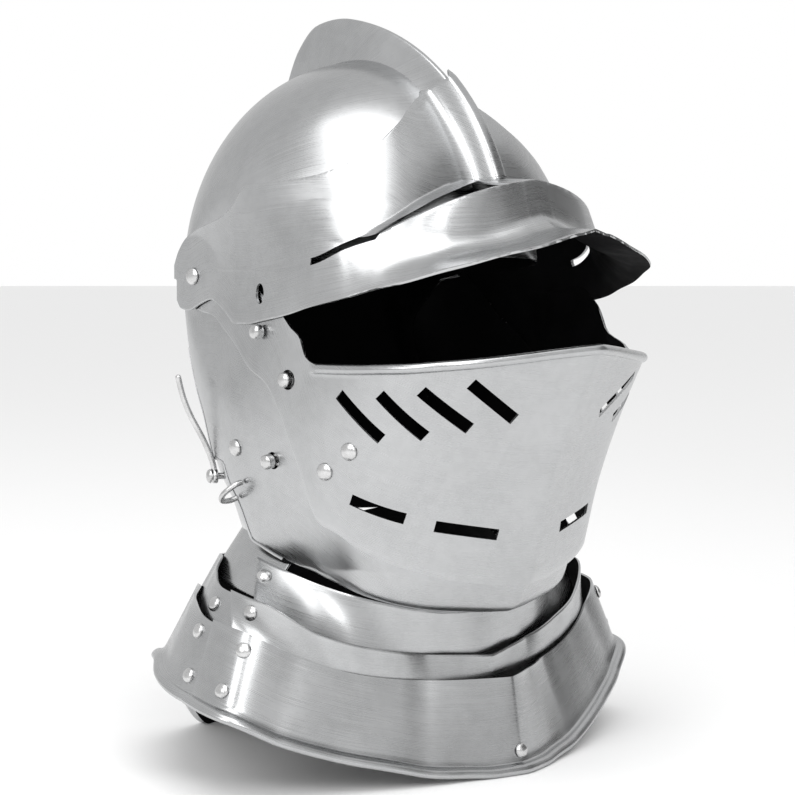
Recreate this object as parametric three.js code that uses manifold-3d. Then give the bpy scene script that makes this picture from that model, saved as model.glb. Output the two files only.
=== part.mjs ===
// Close helmet in plate steel: a round skull with a hollow comb, a visor with a stepped peak, a ventail,
// a bevor and a laminated gorget. Millimetres, +Z up, the face looks along -Y, +X is the wearer's left.
// The plates are worked out in the pivot frame (x, f, h): f is forward of the pivot axis, h is above it.
import * as THREE from 'three';
import { mergeVertices } from 'three/addons/utils/BufferGeometryUtils.js';
import Module from 'manifold-3d';

const wasm = await Module();
wasm.setup();

// Driving dimensions
const pivotHeight = 261.6; // pivot axis above the ground
const centreForward = 72.5; // middle of the helmet's length, forward of the pivot axis
const sheet = 1.3; // plate thickness
const bowl = { half: 99, height: 119, forward: 34 }; // skull bowl: half width, height, centre forward of the pivot
const layerStep = 2.3; // one plate and the gap under it, at the pivots
const pivotHalf = { visor: 94, ventail: 91.7, bevor: 89.4, skull: 87.1 }; // outer face of each plate at the pivot
const dish = { flat: 22, slope: 0.16 }; // the sides are flat round the pivot and then spread forward
const browRadius = 136.5; // visor brow about the pivot axis
const browHalf = 104.4;
const comb = { radius: 146.4, crestHalf: 2.2, baseHalf: 5 };
const keel = { radius: 150.2, crestHalf: 4.4, baseHalf: 9.2 };
const rimRoll = 2.7; // radius of the rolled edges
const pin = { radius: 2.4, hole: 2.9, head: 4.7 };
const rivetHead = { small: 3.6, large: 4.6 };
const clearance = 0.3; // gap between pieces that touch

const lameSteps = 9; // columns of each lame on either side

const steel = { roughness: 0.34, metalness: 1 };
const rad = THREE.MathUtils.degToRad;
const clamp = THREE.MathUtils.clamp;

// Value of a short table at t: rows of [key, value, ...], column 1 unless said
function at(table, t, column = 1) {
  const last = table.length - 1;
  if (t <= table[0][0]) return table[0][column];
  if (t >= table[last][0]) return table[last][column];
  const i = table.findIndex((row) => row[0] > t) - 1;
  const w = (t - table[i][0]) / (table[i + 1][0] - table[i][0]);
  return table[i][column] * (1 - w) + table[i + 1][column] * w;
}

const smooth = (t) => THREE.MathUtils.smoothstep(t, 0, 1);
const world = (x, f, h) => new THREE.Vector3(x, -f, h);

// Surfaces as ratios: below 1 inside, 1 on the surface, above 1 outside
const sideHalf = (f, h, half) => half + dish.slope * Math.max(0, Math.hypot(f, h) - dish.flat);

// Front of the face plates: height above the pivot, distance forward of the pivot
const faceProfile = [
  [-178, 152],
  [-161, 160],
  [-112, 173],
  [-84, 184],
  [-34, 210],
  [0, 231],
];

// Plan of the throat plates: height, centre forward, half width
const throatPlan = [
  [-151, 60, 83],
  [-126, 58, 89.3],
  [-105, 52, 94.5],
  [-78, 47, 97.4],
  [-56, 40, 98.4],
  [-30, 36, 99.6],
  [0, 34, 101.3],
];

// Half width of the ventail: height, half width
const ventailPlan = [
  [-161, 93],
  [-126, 97],
  [-105, 99.4],
  [-58, 101.4],
  [0, 101.4],
];

// Wedge shaped plan with rounded cheeks: round behind the centre, a shallow keel in front of it
function planRatio(x, f, half, centre, front, power) {
  const wedge = 0.31;
  if (f < centre) return Math.hypot(x, f - centre) / half;
  const forward = Math.max(0, (f - centre + wedge * Math.abs(x)) / (front - centre));
  return (forward ** power + (Math.abs(x) / half) ** power) ** (1 / power);
}

function ventailRatio(x, f, h) {
  // The left arm reaches further forward and lies under the visor
  const arm = smooth((h + 45) / 10) * smooth((f - 76) / 16) * smooth((154 - f) / 12);
  const armTuck = x > 0 ? 5.4 * arm : 0;
  const plan = planRatio(x, f, at(ventailPlan, h) - armTuck, 34, at(faceProfile, h) - armTuck, 6);
  return Math.max(plan, Math.abs(x) / sideHalf(f, h, pivotHalf.ventail));
}

function bevorRatio(x, f, h) {
  const plan = planRatio(x, f, at(throatPlan, h, 2), at(throatPlan, h), at(faceProfile, h) - 3.2, 5);
  return Math.max(plan, Math.abs(x) / sideHalf(f, h, pivotHalf.bevor));
}

function browRatio(x, f, h) {
  const power = at([[-8, 9], [15, 7], [28, 4.6], [40, 3.6], [100, 2.6]], h);
  const ring = ((Math.abs(x) / browHalf) ** power + (Math.hypot(f, h) / browRadius) ** power) ** (1 / power);
  return Math.max(ring, Math.abs(x) / sideHalf(f, h, pivotHalf.visor));
}

function skullRatio(x, f, h) {
  let ratio;
  if (h >= 0) ratio = Math.hypot(x / bowl.half, (f - bowl.forward) / bowl.half, h / bowl.height);
  else ratio = Math.hypot(x, f - at(throatPlan, h)) / (at(throatPlan, h, 2) - layerStep);
  const underBrow = h > 0 ? Math.hypot(f, h) / (browRadius - sheet - 2.6) : 0;
  return Math.max(ratio, underBrow, Math.abs(x) / sideHalf(f, h, pivotHalf.skull));
}

// Distance from a point along a direction to a surface
function reach(ratio, from, along) {
  let low = 0;
  let high = 320;
  for (let i = 0; i < 44; i += 1) {
    const mid = (low + high) / 2;
    const inside = ratio(from.x + along.x * mid, from.f + along.f * mid, from.h + along.h * mid) < 1;
    if (inside) low = mid;
    else high = mid;
  }
  return low;
}

// Point at a plan angle (degrees, 0 is the front, positive to the wearer's left) and a radius about x = 0, f = centre
function plan(angle, radius, h, centre = bowl.forward) {
  return world(radius * Math.sin(rad(angle)), centre + radius * Math.cos(rad(angle)), h);
}

function planReach(ratio, angle, h) {
  const along = { x: Math.sin(rad(angle)), f: Math.cos(rad(angle)), h: 0 };
  return reach(ratio, { x: 0, f: bowl.forward, h }, along);
}

const onPlate = (ratio, angle, h) => plan(angle, planReach(ratio, angle, h), h);

// Outward normal of a surface at a point of it
function normalAt(ratio, point) {
  const step = 0.6;
  const value = (dx, dy, dz) => ratio(point.x + dx, -(point.y + dy), point.z + dz);
  return new THREE.Vector3(
    value(step, 0, 0) - value(-step, 0, 0),
    value(0, step, 0) - value(0, -step, 0),
    value(0, 0, step) - value(0, 0, -step),
  ).normalize();
}

// Turns columns of points into a plate: the outer face, an inner face one sheet behind it, and the edges
function plate(columns) {
  const across = columns.length;
  const up = columns[0].length;
  const tangent = (a, b) => b.clone().sub(a);
  const inner = columns.map((column, i) => column.map((point, j) => {
    const u = tangent(columns[Math.max(0, i - 1)][j], columns[Math.min(across - 1, i + 1)][j]);
    const v = tangent(column[Math.max(0, j - 1)], column[Math.min(up - 1, j + 1)]);
    const behind = point.clone().addScaledVector(u.cross(v).normalize(), -sheet);
    return j === 0 ? behind.setZ(point.z) : behind;
  }));
  return closedSheet(columns, inner);
}

// A closed body between two grids of points
function closedSheet(outer, inner) {
  const across = outer.length;
  const up = outer[0].length;
  const points = [...outer.flat(), ...inner.flat()];
  const offset = across * up;
  const index = [];
  const quad = (a, b, c, d) => {
    if (points[a].distanceTo(points[c]) <= points[b].distanceTo(points[d])) index.push(a, b, c, a, c, d);
    else index.push(a, b, d, b, c, d);
  };
  for (let i = 0; i < across - 1; i += 1) {
    for (let j = 0; j < up - 1; j += 1) {
      const a = i * up + j;
      quad(a, a + up, a + up + 1, a + 1);
      quad(offset + a, offset + a + 1, offset + a + up + 1, offset + a + up);
    }
    const low = i * up;
    const high = low + up - 1;
    quad(low, offset + low, offset + low + up, low + up);
    quad(high, high + up, offset + high + up, offset + high);
  }
  for (let j = 0; j < up - 1; j += 1) {
    const end = (across - 1) * up + j;
    quad(j, j + 1, offset + j + 1, offset + j);
    quad(end, offset + end, offset + end + 1, end + 1);
  }
  const geometry = new THREE.BufferGeometry().setFromPoints(points);
  geometry.setIndex(index);
  return geometry;
}

function toSolid(geometry) {
  const bare = geometry.clone();
  bare.deleteAttribute('normal');
  bare.deleteAttribute('uv');
  const merged = mergeVertices(bare, 1e-4);
  return new wasm.Manifold(new wasm.Mesh({
    numProp: 3,
    vertProperties: new Float32Array(merged.attributes.position.array),
    triVerts: new Uint32Array(merged.index.array),
  }));
}

function toGeometry(solid) {
  const mesh = solid.getMesh();
  const geometry = new THREE.BufferGeometry();
  geometry.setAttribute('position', new THREE.BufferAttribute(new Float32Array(mesh.vertProperties), 3));
  geometry.setIndex(new THREE.BufferAttribute(new Uint32Array(mesh.triVerts), 1));
  return geometry;
}

const cut = (geometry, tools) => toGeometry(tools.reduce((body, tool) => body.subtract(toSolid(tool)), toSolid(geometry)));
const join = (pieces) => toGeometry(pieces.map(toSolid).reduce((body, piece) => body.add(piece)));

// Moves a geometry made along +Y so that it starts at a point and runs along a direction
function aim(geometry, point, direction) {
  const turn = new THREE.Quaternion().setFromUnitVectors(new THREE.Vector3(0, 1, 0), direction.clone().normalize());
  return geometry.applyQuaternion(turn).translate(point.x, point.y, point.z);
}

// Round rivet head on a plate, standing the clearance off it
function rivet(point, normal, radius, sides = 8) {
  const profile = [[0, 0], [1, 0], [0.74, 0.42], [0, 0.62]];
  const curve = profile.map(([r, y]) => new THREE.Vector2(r * radius, y * radius));
  return aim(new THREE.LatheGeometry(curve, sides), point.clone().addScaledVector(normal, clearance), normal);
}

// Skull: sections across the bowl from the brow over the crown to the nape, then down the neck
const combRadius = [
  [0, comb.radius],
  [80, comb.radius],
  [90, 143],
  [97, 131],
  [103, 114],
  [110, 96],
  [115, 82],
  [180, 40],
];

// Rear edge of the bevor: height, plan angle
const bevorRearEdge = [
  [-138, 93],
  [-121, 94],
  [-111, 97],
  [-99, 98],
  [-97, 110],
  [-74, 114],
  [-54, 118],
  [-34, 123],
  [0, 128],
];

// Front edge of the skull's cheeks, which lie inside the bevor: height, plan angle
const cheekEdge = [
  [-138, 86],
  [-121, 87],
  [-104, 91],
  [-92, 103],
  [-74, 107],
  [-54, 111],
  [-30, 115],
  [0, 98],
];

function skullGeometry() {
  const browAngle = 6;
  const crownAngles = [browAngle, 20, 34, 48, 62, 74, 82, 90, 98, 106, 115, 128, 144, 162, 180];
  const neckHeights = [-30, -56, -78, -94, -105, -121, -138];
  const combColumns = [0, comb.crestHalf, 3.3, comb.baseHalf, 9.5];
  const lateral = [17, 30, 44, 58, 70, 79, 86];
  const combShare = [1, 0.96, 0.42, 0.05, 0];

  function crownPoint(side, column, angle) {
    const tilt = rad(angle);
    if (column < combColumns.length) {
      const x = combColumns[column];
      const from = { x, f: bowl.forward, h: 0 };
      const along = { x: 0, f: Math.cos(tilt), h: Math.sin(tilt) };
      const base = reach(skullRatio, from, along);
      const crest = reach((px, f, h) => Math.hypot(f, h) / at(combRadius, THREE.MathUtils.radToDeg(Math.atan2(h, f))), from, along);
      const raised = base + Math.max(0, crest - base) * combShare[column];
      return world(side * x, bowl.forward + along.f * raised, along.h * raised);
    }
    const swing = rad(lateral[column - combColumns.length]);
    const along = { x: Math.sin(swing), f: Math.cos(swing) * Math.cos(tilt), h: Math.cos(swing) * Math.sin(tilt) };
    const out = reach(skullRatio, { x: 0, f: bowl.forward, h: 0 }, along);
    return world(side * along.x * out, bowl.forward + along.f * out, along.h * out);
  }

  // The cheeks step inwards where the bevor laps over them, so that it can swing forward
  function neckPoint(side, column, h) {
    const spread = column < combColumns.length
      ? THREE.MathUtils.radToDeg(Math.asin(combColumns[column] / bowl.half))
      : lateral[column - combColumns.length];
    const edge = at(cheekEdge, h);
    const angle = 180 - spread * (180 - edge) / lateral[lateral.length - 1];
    const lap = at(bevorRearEdge, h) + 2 - angle;
    const inset = 7.5 * smooth(lap / 8);
    return plan(side * angle, planReach(skullRatio, angle, h) - inset, h);
  }

  const count = combColumns.length + lateral.length;
  const column = (side, index) => [
    ...crownAngles.map((angle) => crownPoint(side, index, angle)),
    ...neckHeights.map((h) => neckPoint(side, index, h)),
  ];
  const columns = [];
  for (let i = count - 1; i > 0; i -= 1) columns.push(column(-1, i));
  for (let i = 0; i < count; i += 1) columns.push(column(1, i));
  return plate(columns);
}

// Visor outline: plan angle, lower edge radius, lower edge height, peak top radius, peak top height, top edge height
const visorEdges = [
  [0, 170, 24, 130, 50, 111],
  [5, 169.6, 21, 130, 48.6, 98],
  [12, 168.7, 15.6, 130.5, 45.7, 93.4],
  [20, 167.4, 10.8, 131.2, 40.8, 86.5],
  [25, 166, 6.8, 131, 37, 80.5],
  [30, 159.8, 2.8, 130, 32, 75],
  [36, 153, -2.3, 127, 25.6, 67],
  [42, 146, -6.3, 128, 19.2, 60.5],
  [48, 140, -11, 130.4, 13, 56],
  [55, 129.5, -15, 126, 5.8, 52],
  [64, 116.5, -20, 116, 2.6, 49.5],
  [75, 110, -23.5, 110, 2, 48],
  [81, 110, -25, 110, 3, 47],
  [87, 110, -25, 110, 3, 38],
  [94, 110, -18, 110, 3, 31.5],
  [102, 110, -12.5, 110, 5, 28],
  [107, 110, -15, 110, 4, 25.5],
  [112, 110, -18.5, 110, 1, 21],
  [117, 110, -14, 110, -3, 7],
];

function visorGeometry() {
  const keelColumns = [0, keel.crestHalf, 6.4, keel.baseHalf];
  const keelShare = [1, 0.94, 0.5, 0.12];
  const browRows = [0.22, 0.44, 0.66, 0.84, 1];
  const flare = [[0, 0], [0.13, 0.72], [0.42, 0.97], [1, 1]]; // outward and downward shares from the peak's top

  function column(side, angle) {
    const lowHeight = at(visorEdges, angle, 2);
    const peakHeight = at(visorEdges, angle, 4);
    const topHeight = at(visorEdges, angle, 5);
    const wall = (h) => planReach(browRatio, angle, h);
    const beside = keel.baseHalf * Math.cos(rad(angle));
    const along = { x: Math.sin(rad(angle)), f: Math.cos(rad(angle)), h: 0 };
    const stepped = 1 - smooth((angle - 55) / 13);
    const peakRadius = THREE.MathUtils.lerp(wall(peakHeight), at(visorEdges, angle, 3), stepped);
    const lowRadius = THREE.MathUtils.lerp(wall(lowHeight), at(visorEdges, angle, 1), stepped);
    const hollow = 1 - smooth((angle - 14) / 34);
    const points = flare.slice().reverse().map(([out, drop], i) => {
      const even = 1 - i / 3;
      const outward = THREE.MathUtils.lerp(even, out, hollow);
      const downward = THREE.MathUtils.lerp(even, drop, hollow);
      const h = THREE.MathUtils.lerp(peakHeight, lowHeight, downward);
      const stepRadius = THREE.MathUtils.lerp(peakRadius, lowRadius, outward);
      return plan(side * angle, THREE.MathUtils.lerp(wall(h), stepRadius, stepped), h);
    });
    const ledgeHeight = peakHeight + 1.6;
    // The brow's columns start beside the keel, so they never cross it
    const brow = (h) => {
      const out = reach(browRatio, { x: beside, f: bowl.forward, h }, along);
      return world(side * (beside + along.x * out), bowl.forward + along.f * out, h);
    };
    const ledgeRadius = THREE.MathUtils.lerp(wall(ledgeHeight), peakRadius, 0.5 * stepped);
    points.push(plan(side * angle, ledgeRadius, THREE.MathUtils.lerp(peakHeight, ledgeHeight, 0.5)));
    points.push(brow(ledgeHeight));
    browRows.forEach((row) => points.push(brow(THREE.MathUtils.lerp(ledgeHeight, topHeight, row))));
    return points;
  }

  // The keel's columns keep their distance from the middle, whatever the height
  function keelColumn(side, x, share) {
    const points = column(side, 0);
    return points.map((point, i) => {
      const forward = -point.y;
      if (i > flare.length) {
        const h = point.z - 1.2 * x * (i - flare.length) / 6;
        const from = { x, f: 0, h };
        const base = reach(browRatio, from, { x: 0, f: 1, h: 0 });
        const crest = reach((px, f, z) => Math.hypot(f, z) / keel.radius, from, { x: 0, f: 1, h: 0 });
        return world(side * x, base + (crest - base) * share, h);
      }
      const angle = THREE.MathUtils.radToDeg(Math.atan2(x, forward - bowl.forward));
      const near = column(side, angle)[i];
      return world(side * x, -near.y, near.z);
    });
  }

  const columns = [];
  const angles = visorEdges.map((row) => row[0]).slice(1);
  for (const angle of angles.slice().reverse()) columns.push(column(-1, angle));
  for (let i = keelColumns.length - 1; i > 0; i -= 1) columns.push(keelColumn(-1, keelColumns[i], keelShare[i]));
  keelColumns.forEach((x, i) => columns.push(keelColumn(1, x, keelShare[i])));
  for (const angle of angles) columns.push(column(1, angle));
  return plate(columns);
}

// A bent bar that cuts one sight: it follows the ledge behind the peak
function sightTool(side) {
  const angles = [8, 16, 25, 34, 42, 49, 56];
  const columns = angles.map((angle) => {
    const peakHeight = at(visorEdges, angle, 4);
    const wall = planReach(browRatio, angle, peakHeight);
    const upright = smooth((angle - 33) / 16);
    return {
      near: THREE.MathUtils.lerp(wall + 3, wall - 5, upright),
      far: THREE.MathUtils.lerp(at(visorEdges, angle, 3) - 2.5, wall + 7, upright),
      low: THREE.MathUtils.lerp(peakHeight - 4, peakHeight + 0.3, upright),
      high: peakHeight + THREE.MathUtils.lerp(5, 3.6, upright),
      angle: side * angle,
    };
  });
  const ordered = side < 0 ? columns.reverse() : columns;
  const face = (radius) => ordered.map((c) => [plan(c.angle, c[radius], c.low), plan(c.angle, c[radius], c.high)]);
  return closedSheet(face('far'), face('near'));
}

// Ventail outline: plan angle, top edge height on the right, on the left, lower edge height
const ventailEdges = [
  [0, -34, -34, -161],
  [8, -36, -36, -160.5],
  [15, -38, -38, -158.5],
  [23, -40, -40, -155.5],
  [30, -41.5, -41.5, -151],
  [37, -43, -42, -146],
  [41, -43.4, -34, -142],
  [45, -43.8, -16, -138],
  [50, -44, -6, -131],
  [55.5, -44, -8, -125],
  [58, -41, -9, -114],
  [60, -31, -9, -101],
  [63, -26, -9, -87],
  [66, -20, -8, -73],
  [72, -12, -6, -56],
  [80, -4, -3, -48],
  [88, 6, 6, -36],
  [95, 12, 12, -28],
  [102, 15, 15, -21],
  [108, 14, 14, -19],
  [113, 8, 8, -16],
];

function ventailGeometry() {
  const rows = [0, 0.2, 0.4, 0.62, 0.82];
  function column(side, angle) {
    const low = at(ventailEdges, angle, 3);
    const top = at(ventailEdges, angle, side < 0 ? 1 : 2);
    const rolled = angle < (side < 0 ? 57 : 40) ? rimRoll : 0;
    const rollStart = top - 2 * rimRoll;
    const points = rows.map((row) => onPlate(ventailRatio, side * angle, THREE.MathUtils.lerp(low, rollStart, row)));
    const lip = onPlate(ventailRatio, side * angle, rollStart);
    const out = normalAt(ventailRatio, lip).setZ(0).normalize();
    const roll = [[0, 0], [1.05, 0.45], [1.05, 1.6], [0, 2]];
    roll.forEach(([outward, rise]) => {
      points.push(lip.clone().addScaledVector(out, outward * rolled).add(new THREE.Vector3(0, 0, rise * rimRoll)));
    });
    return points;
  }
  const angles = ventailEdges.map((row) => row[0]);
  const columns = [
    ...angles.slice(1).reverse().map((angle) => column(-1, angle)),
    ...angles.map((angle) => column(1, angle)),
  ];
  const inner = columns.map((points) => points.map((point, j) => {
    const flat = j < rows.length ? point : points[rows.length].clone().setZ(point.z);
    return flat.clone().addScaledVector(normalAt(ventailRatio, flat), -sheet);
  }));
  return closedSheet(columns, inner);
}

// Breaths: plan angle and height of both ends of each slot, and its width
const breaths = [
  { from: [49, -59], to: [40, -81], width: 6.5 },
  { from: [40.5, -58.5], to: [31.5, -79.5], width: 6.5 },
  { from: [33, -56.5], to: [22.5, -76], width: 6.5 },
  { from: [24, -53], to: [13, -72], width: 6.5 },
  { from: [46.5, -112.5], to: [34.5, -122], width: 6 },
  { from: [27.5, -126.5], to: [11, -133], width: 6 },
];

// A bar across the plate with square ends, for cutting a slot
function slotTool(ratio, side, { from, to, width }) {
  const start = onPlate(ratio, side * from[0], from[1]);
  const end = onPlate(ratio, side * to[0], to[1]);
  const middle = start.clone().add(end).multiplyScalar(0.5);
  const out = normalAt(ratio, middle);
  const along = end.clone().sub(start);
  const box = new THREE.BoxGeometry(along.length(), 14, width);
  const lengthwise = along.clone().normalize();
  const depth = out.clone().addScaledVector(lengthwise, -out.dot(lengthwise)).normalize();
  const basis = new THREE.Matrix4().makeBasis(lengthwise, depth, lengthwise.clone().cross(depth));
  return box.applyMatrix4(basis).translate(middle.x, middle.y, middle.z);
}

// Bevor outline: plan angle, top edge height, lower edge height
const bevorEdges = [
  [0, -141, -176],
  [7, -141, -175.5],
  [16, -141, -174],
  [25, -140, -172],
  [33, -138, -169],
  [41, -132, -165],
  [46, -122, -162],
  [49, -104, -160],
  [52, -84, -158],
  [56, -68, -156],
  [61, -54, -153],
  [66, -44, -151],
  [72, -33, -148],
  [78, -24, -145],
  [84, -12, -142],
  [90, -2, -139.5],
  [94, 4, -122],
  [97, 8, -111],
  [98.5, 10, -99],
  [104, 14, -97.5],
  [109.5, 14, -97],
  [114, 11, -74],
  [118, 2, -54],
  [121.5, -8, -38],
];

// Neck of the bevor, turned in under the chin: plan angle, radius
const neckRing = [
  [0, 88],
  [25, 87],
  [41, 88],
  [56, 88.5],
  [72, 88],
  [90, 84],
];

function bevorGeometry() {
  const rows = [0, 0.2, 0.45, 0.72, 1];
  function column(side, angle) {
    const low = at(bevorEdges, angle, 2);
    const top = at(bevorEdges, angle);
    const chin = 1 - smooth((angle - 66) / 24);
    const points = rows.map((row) => onPlate(bevorRatio, side * angle, THREE.MathUtils.lerp(low, top, row)));
    const edge = planReach(bevorRatio, angle, low);
    const tucked = Math.min(edge, THREE.MathUtils.lerp(edge, at(neckRing, angle), chin));
    points.unshift(plan(side * angle, THREE.MathUtils.lerp(edge, tucked, 0.5), low - 1));
    points.unshift(plan(side * angle, tucked, low - 1.2));
    return points;
  }
  const angles = bevorEdges.map((row) => row[0]);
  return plate([
    ...angles.slice(1).reverse().map((angle) => column(-1, angle)),
    ...angles.map((angle) => column(1, angle)),
  ]);
}

// Gorget lames. Each edge is a ring about x = 0, f = 50: plan angle, radius, height above the ground
const gorgetCentre = 50;
const frontRings = {
  neckTop: [[0, 75.5, 83.8], [15, 76, 84.2], [30, 80, 87], [45, 87, 92.5], [60, 93, 99.5], [75, 96, 108], [87, 97, 114.5]],
  neckLow: [[0, 77, 54], [15, 76.5, 55], [29, 80, 57], [42, 88, 60], [52, 98, 65], [61, 110.5, 73], [69, 122, 82], [76, 126, 91]],
  secondTop: [[0, 84.7, 60], [15, 82.2, 62], [27, 83.2, 63.5], [38, 90, 66.5], [48, 98.5, 70.5], [60, 115, 79], [72, 129, 96], [85, 120.5, 100]],
  secondLow: [[0, 86, 40], [15, 84.5, 41], [29, 87, 42], [39, 92.5, 44], [51, 103, 49], [61, 118.5, 57], [69, 131, 67], [78, 139, 77]],
  thirdTop: [[0, 98.8, 50], [15, 92.8, 50.5], [29, 91.4, 51.5], [39, 96, 53.5], [51, 106.5, 58], [64, 124.3, 69], [74, 141.2, 83], [83, 138.2, 87]],
  thirdLow: [[0, 107, 0], [10, 104.5, 0], [18, 103.6, 1.2], [31, 107, 4], [43, 114.5, 10], [55, 126.5, 17], [66, 145, 28], [74, 160, 41], [84, 153, 46]],
};
const rearRings = {
  neckTop: [[80, 75, 118], [95, 74, 122], [107, 74.4, 126], [120, 75.7, 127], [133, 75.5, 125], [150, 74, 121], [180, 73, 116]],
  neckLow: [[80, 103, 93], [100, 99, 97], [120, 95, 98], [133, 94, 96], [150, 90, 90], [180, 86, 83]],
  secondTop: [[79.5, 119, 96], [90, 116, 99], [103, 104, 104], [120, 91, 109], [133, 90, 107], [150, 86, 104], [180, 84, 96]],
  secondLow: [[81, 133, 72], [92, 127, 77], [104, 113.5, 85], [120, 104, 87], [133, 103, 83], [150, 99, 74], [180, 96, 62]],
  thirdTop: [[80, 137.4, 83], [90, 129.8, 86], [101, 119, 91], [120, 103.5, 93], [133, 102.3, 89], [150, 99.5, 80], [180, 97.5, 68]],
  thirdLow: [[82, 148, 41], [90, 146, 45], [101, 138, 51], [111, 129, 55], [125, 124, 52], [140, 119, 38], [160, 112, 0], [180, 110, 0]],
};

const ringPoint = (ring, side, angle) => plan(side * angle, at(ring, angle), at(ring, angle, 2) - pivotHeight, gorgetCentre);

// Point of a lame: t runs from the ring's first angle to its last, share from the lower edge to the upper
function lamePoint(lame, side, t, share) {
  const angle = (ring) => THREE.MathUtils.lerp(ring[0][0], ring[ring.length - 1][0], t);
  const low = ringPoint(lame.low, side, angle(lame.low));
  return low.lerp(ringPoint(lame.top, side, angle(lame.top)), share);
}

// Columns of a lame between its two rings. Its ends may slant, so each ring runs over its own angles
function lameColumns(lame, steps) {
  const rows = [0, 0.5, 1];
  const column = (side, t) => rows.map((row) => lamePoint(lame, side, t, row));
  const order = Array.from({ length: steps + 1 }, (unused, i) => i / steps);
  if (lame.end === 'front') return [...order.slice(1).reverse().map((t) => column(-1, t)), ...order.map((t) => column(1, t))];
  return [...order.map((t) => column(1, t)), ...order.slice(0, -1).reverse().map((t) => column(-1, t))];
}

// Rolled lower edge: the sheet turns outwards round a wire, flat underneath
function rolledLame(columns, fade) {
  const roll = [[0, 0], [0.95, 0], [2, 0.9], [1.2, 1.95], [0, 2.15]]; // outward and upward, in roll radii
  const outer = columns.map((column, i) => {
    const next = columns[Math.min(columns.length - 1, i + 1)][0];
    const previous = columns[Math.max(0, i - 1)][0];
    const out = next.clone().sub(previous).setZ(0).cross(new THREE.Vector3(0, 0, 1)).normalize();
    const up = column[1].clone().sub(column[0]).normalize();
    const fromEnd = Math.min(i, columns.length - 1 - i);
    const size = fade && fromEnd < 2 ? rimRoll * (0.15 + 0.2 * fromEnd) : rimRoll;
    const hem = roll.map(([outward, rise]) => column[0].clone()
      .addScaledVector(out, outward * size)
      .addScaledVector(up, rise * rimRoll));
    hem[1].z = hem[0].z;
    return [...hem, ...column.slice(1)];
  });
  const flat = columns.map((column) => {
    const up = column[1].clone().sub(column[0]).normalize();
    return [...roll.map(([, rise]) => column[0].clone().addScaledVector(up, rise * rimRoll)), ...column.slice(1)];
  });
  const inner = flat.map((column, i) => column.map((point, j) => {
    const u = flat[Math.min(flat.length - 1, i + 1)][j].clone().sub(flat[Math.max(0, i - 1)][j]);
    const v = column[column.length - 1].clone().sub(column[0]);
    const behind = point.clone().addScaledVector(u.cross(v).normalize(), -sheet);
    return j < 2 ? behind.setZ(column[0].z) : behind;
  }));
  return closedSheet(outer, inner);
}

function add(group, name, geometry, colour = 0xc9ccd0, finish = steel) {
  const mesh = new THREE.Mesh(geometry, new THREE.MeshStandardMaterial({ color: colour, ...finish }));
  mesh.name = name;
  group.add(mesh);
  return mesh;
}

const right = -1;
const left = 1;

// Points of the small fittings on the wearer's right: plan angle, height
const fittings = {
  visorHole: [74.5, -9],
  studA: [74.4, -29],
  studB: [63.7, -53],
  studC: [71.4, -96],
  rivetD: [88.5, -91],
  rivetE: [46.8, -88],
  rivetF: [52.8, -99],
  hookPin: [108.5, -109],
};

// A cone standing out of a plate on a shank, with a foot behind it
function stud(ratio, [angle, h], side, depth, foot = 3.4) {
  const point = onPlate(ratio, side * angle, h);
  const out = normalAt(ratio, point);
  const shank = [[0, -depth - 1], [foot, -depth - 1], [foot, -depth], [2.1, -depth], [2.1, 1.8]];
  const profile = [...shank, [3.6, 2.4], [3.6, 5.4], [2.6, 6.8], [0, 7]];
  const curve = profile.map(([r, y]) => new THREE.Vector2(r, y));
  return aim(new THREE.LatheGeometry(curve, 8), point, out);
}

// A round hole through a plate
function bore(ratio, [angle, h], side, radius, stretch = 1) {
  const point = onPlate(ratio, side * angle, h);
  const out = normalAt(ratio, point);
  const drill = new THREE.CylinderGeometry(radius, radius, 16, 12);
  return aim(drill.scale(1, 1, stretch), point, out);
}

const plateRivet = (ratio, [angle, h], side, radius) => {
  const point = onPlate(ratio, side * angle, h);
  return rivet(point, normalAt(ratio, point), radius);
};

// The pivot's hole through a plate
const pivotBore = (side) => new THREE.CylinderGeometry(pin.hole, pin.hole, 30, 12)
  .rotateZ(Math.PI / 2).translate(side * 90, 0, 0);

function pivotPin(side) {
  const inside = pivotHalf.skull - sheet - 2;
  const head = pivotHalf.visor + clearance;
  const profile = [
    [0, inside - 1.6], [pin.head - 0.4, inside - 1.6], [pin.head - 0.4, inside], [pin.radius, inside],
    [pin.radius, head], [pin.head, head], [pin.head * 0.86, head + 1.5], [pin.head * 0.5, head + 2.4], [0, head + 2.7],
  ];
  const curve = profile.map(([r, y]) => new THREE.Vector2(r, y));
  return aim(new THREE.LatheGeometry(curve, 10), world(0, 0, 0), new THREE.Vector3(side, 0, 0));
}

// Rivets of the lames on each side: lame, place along it and up it, lift where the lame's flats bulge
const lameRivets = [
  { name: 'rivet_front_1', lame: 'gorget_front_1', t: 0.965, share: 0.72, lift: 0.8 },
  { name: 'rivet_front_2', lame: 'gorget_front_2', t: 0.915, share: 0.73, lift: 1.3 },
  { name: 'rivet_front_3', lame: 'gorget_front_3', t: 0.88, share: 0.81, lift: 0 },
  { name: 'rivet_front_4', lame: 'gorget_front_3', t: 0.905, share: 0.3, lift: 0 },
  { name: 'rivet_rear_2', lame: 'gorget_rear_2', t: 0.11, share: 0.63, lift: 0 },
  { name: 'rivet_rear_3', lame: 'gorget_rear_3', t: 0.095, share: 0.82, lift: 0 },
  { name: 'rivet_rear_4', lame: 'gorget_rear_3', t: 0.075, share: 0.3, lift: 0.3 },
];

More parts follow.
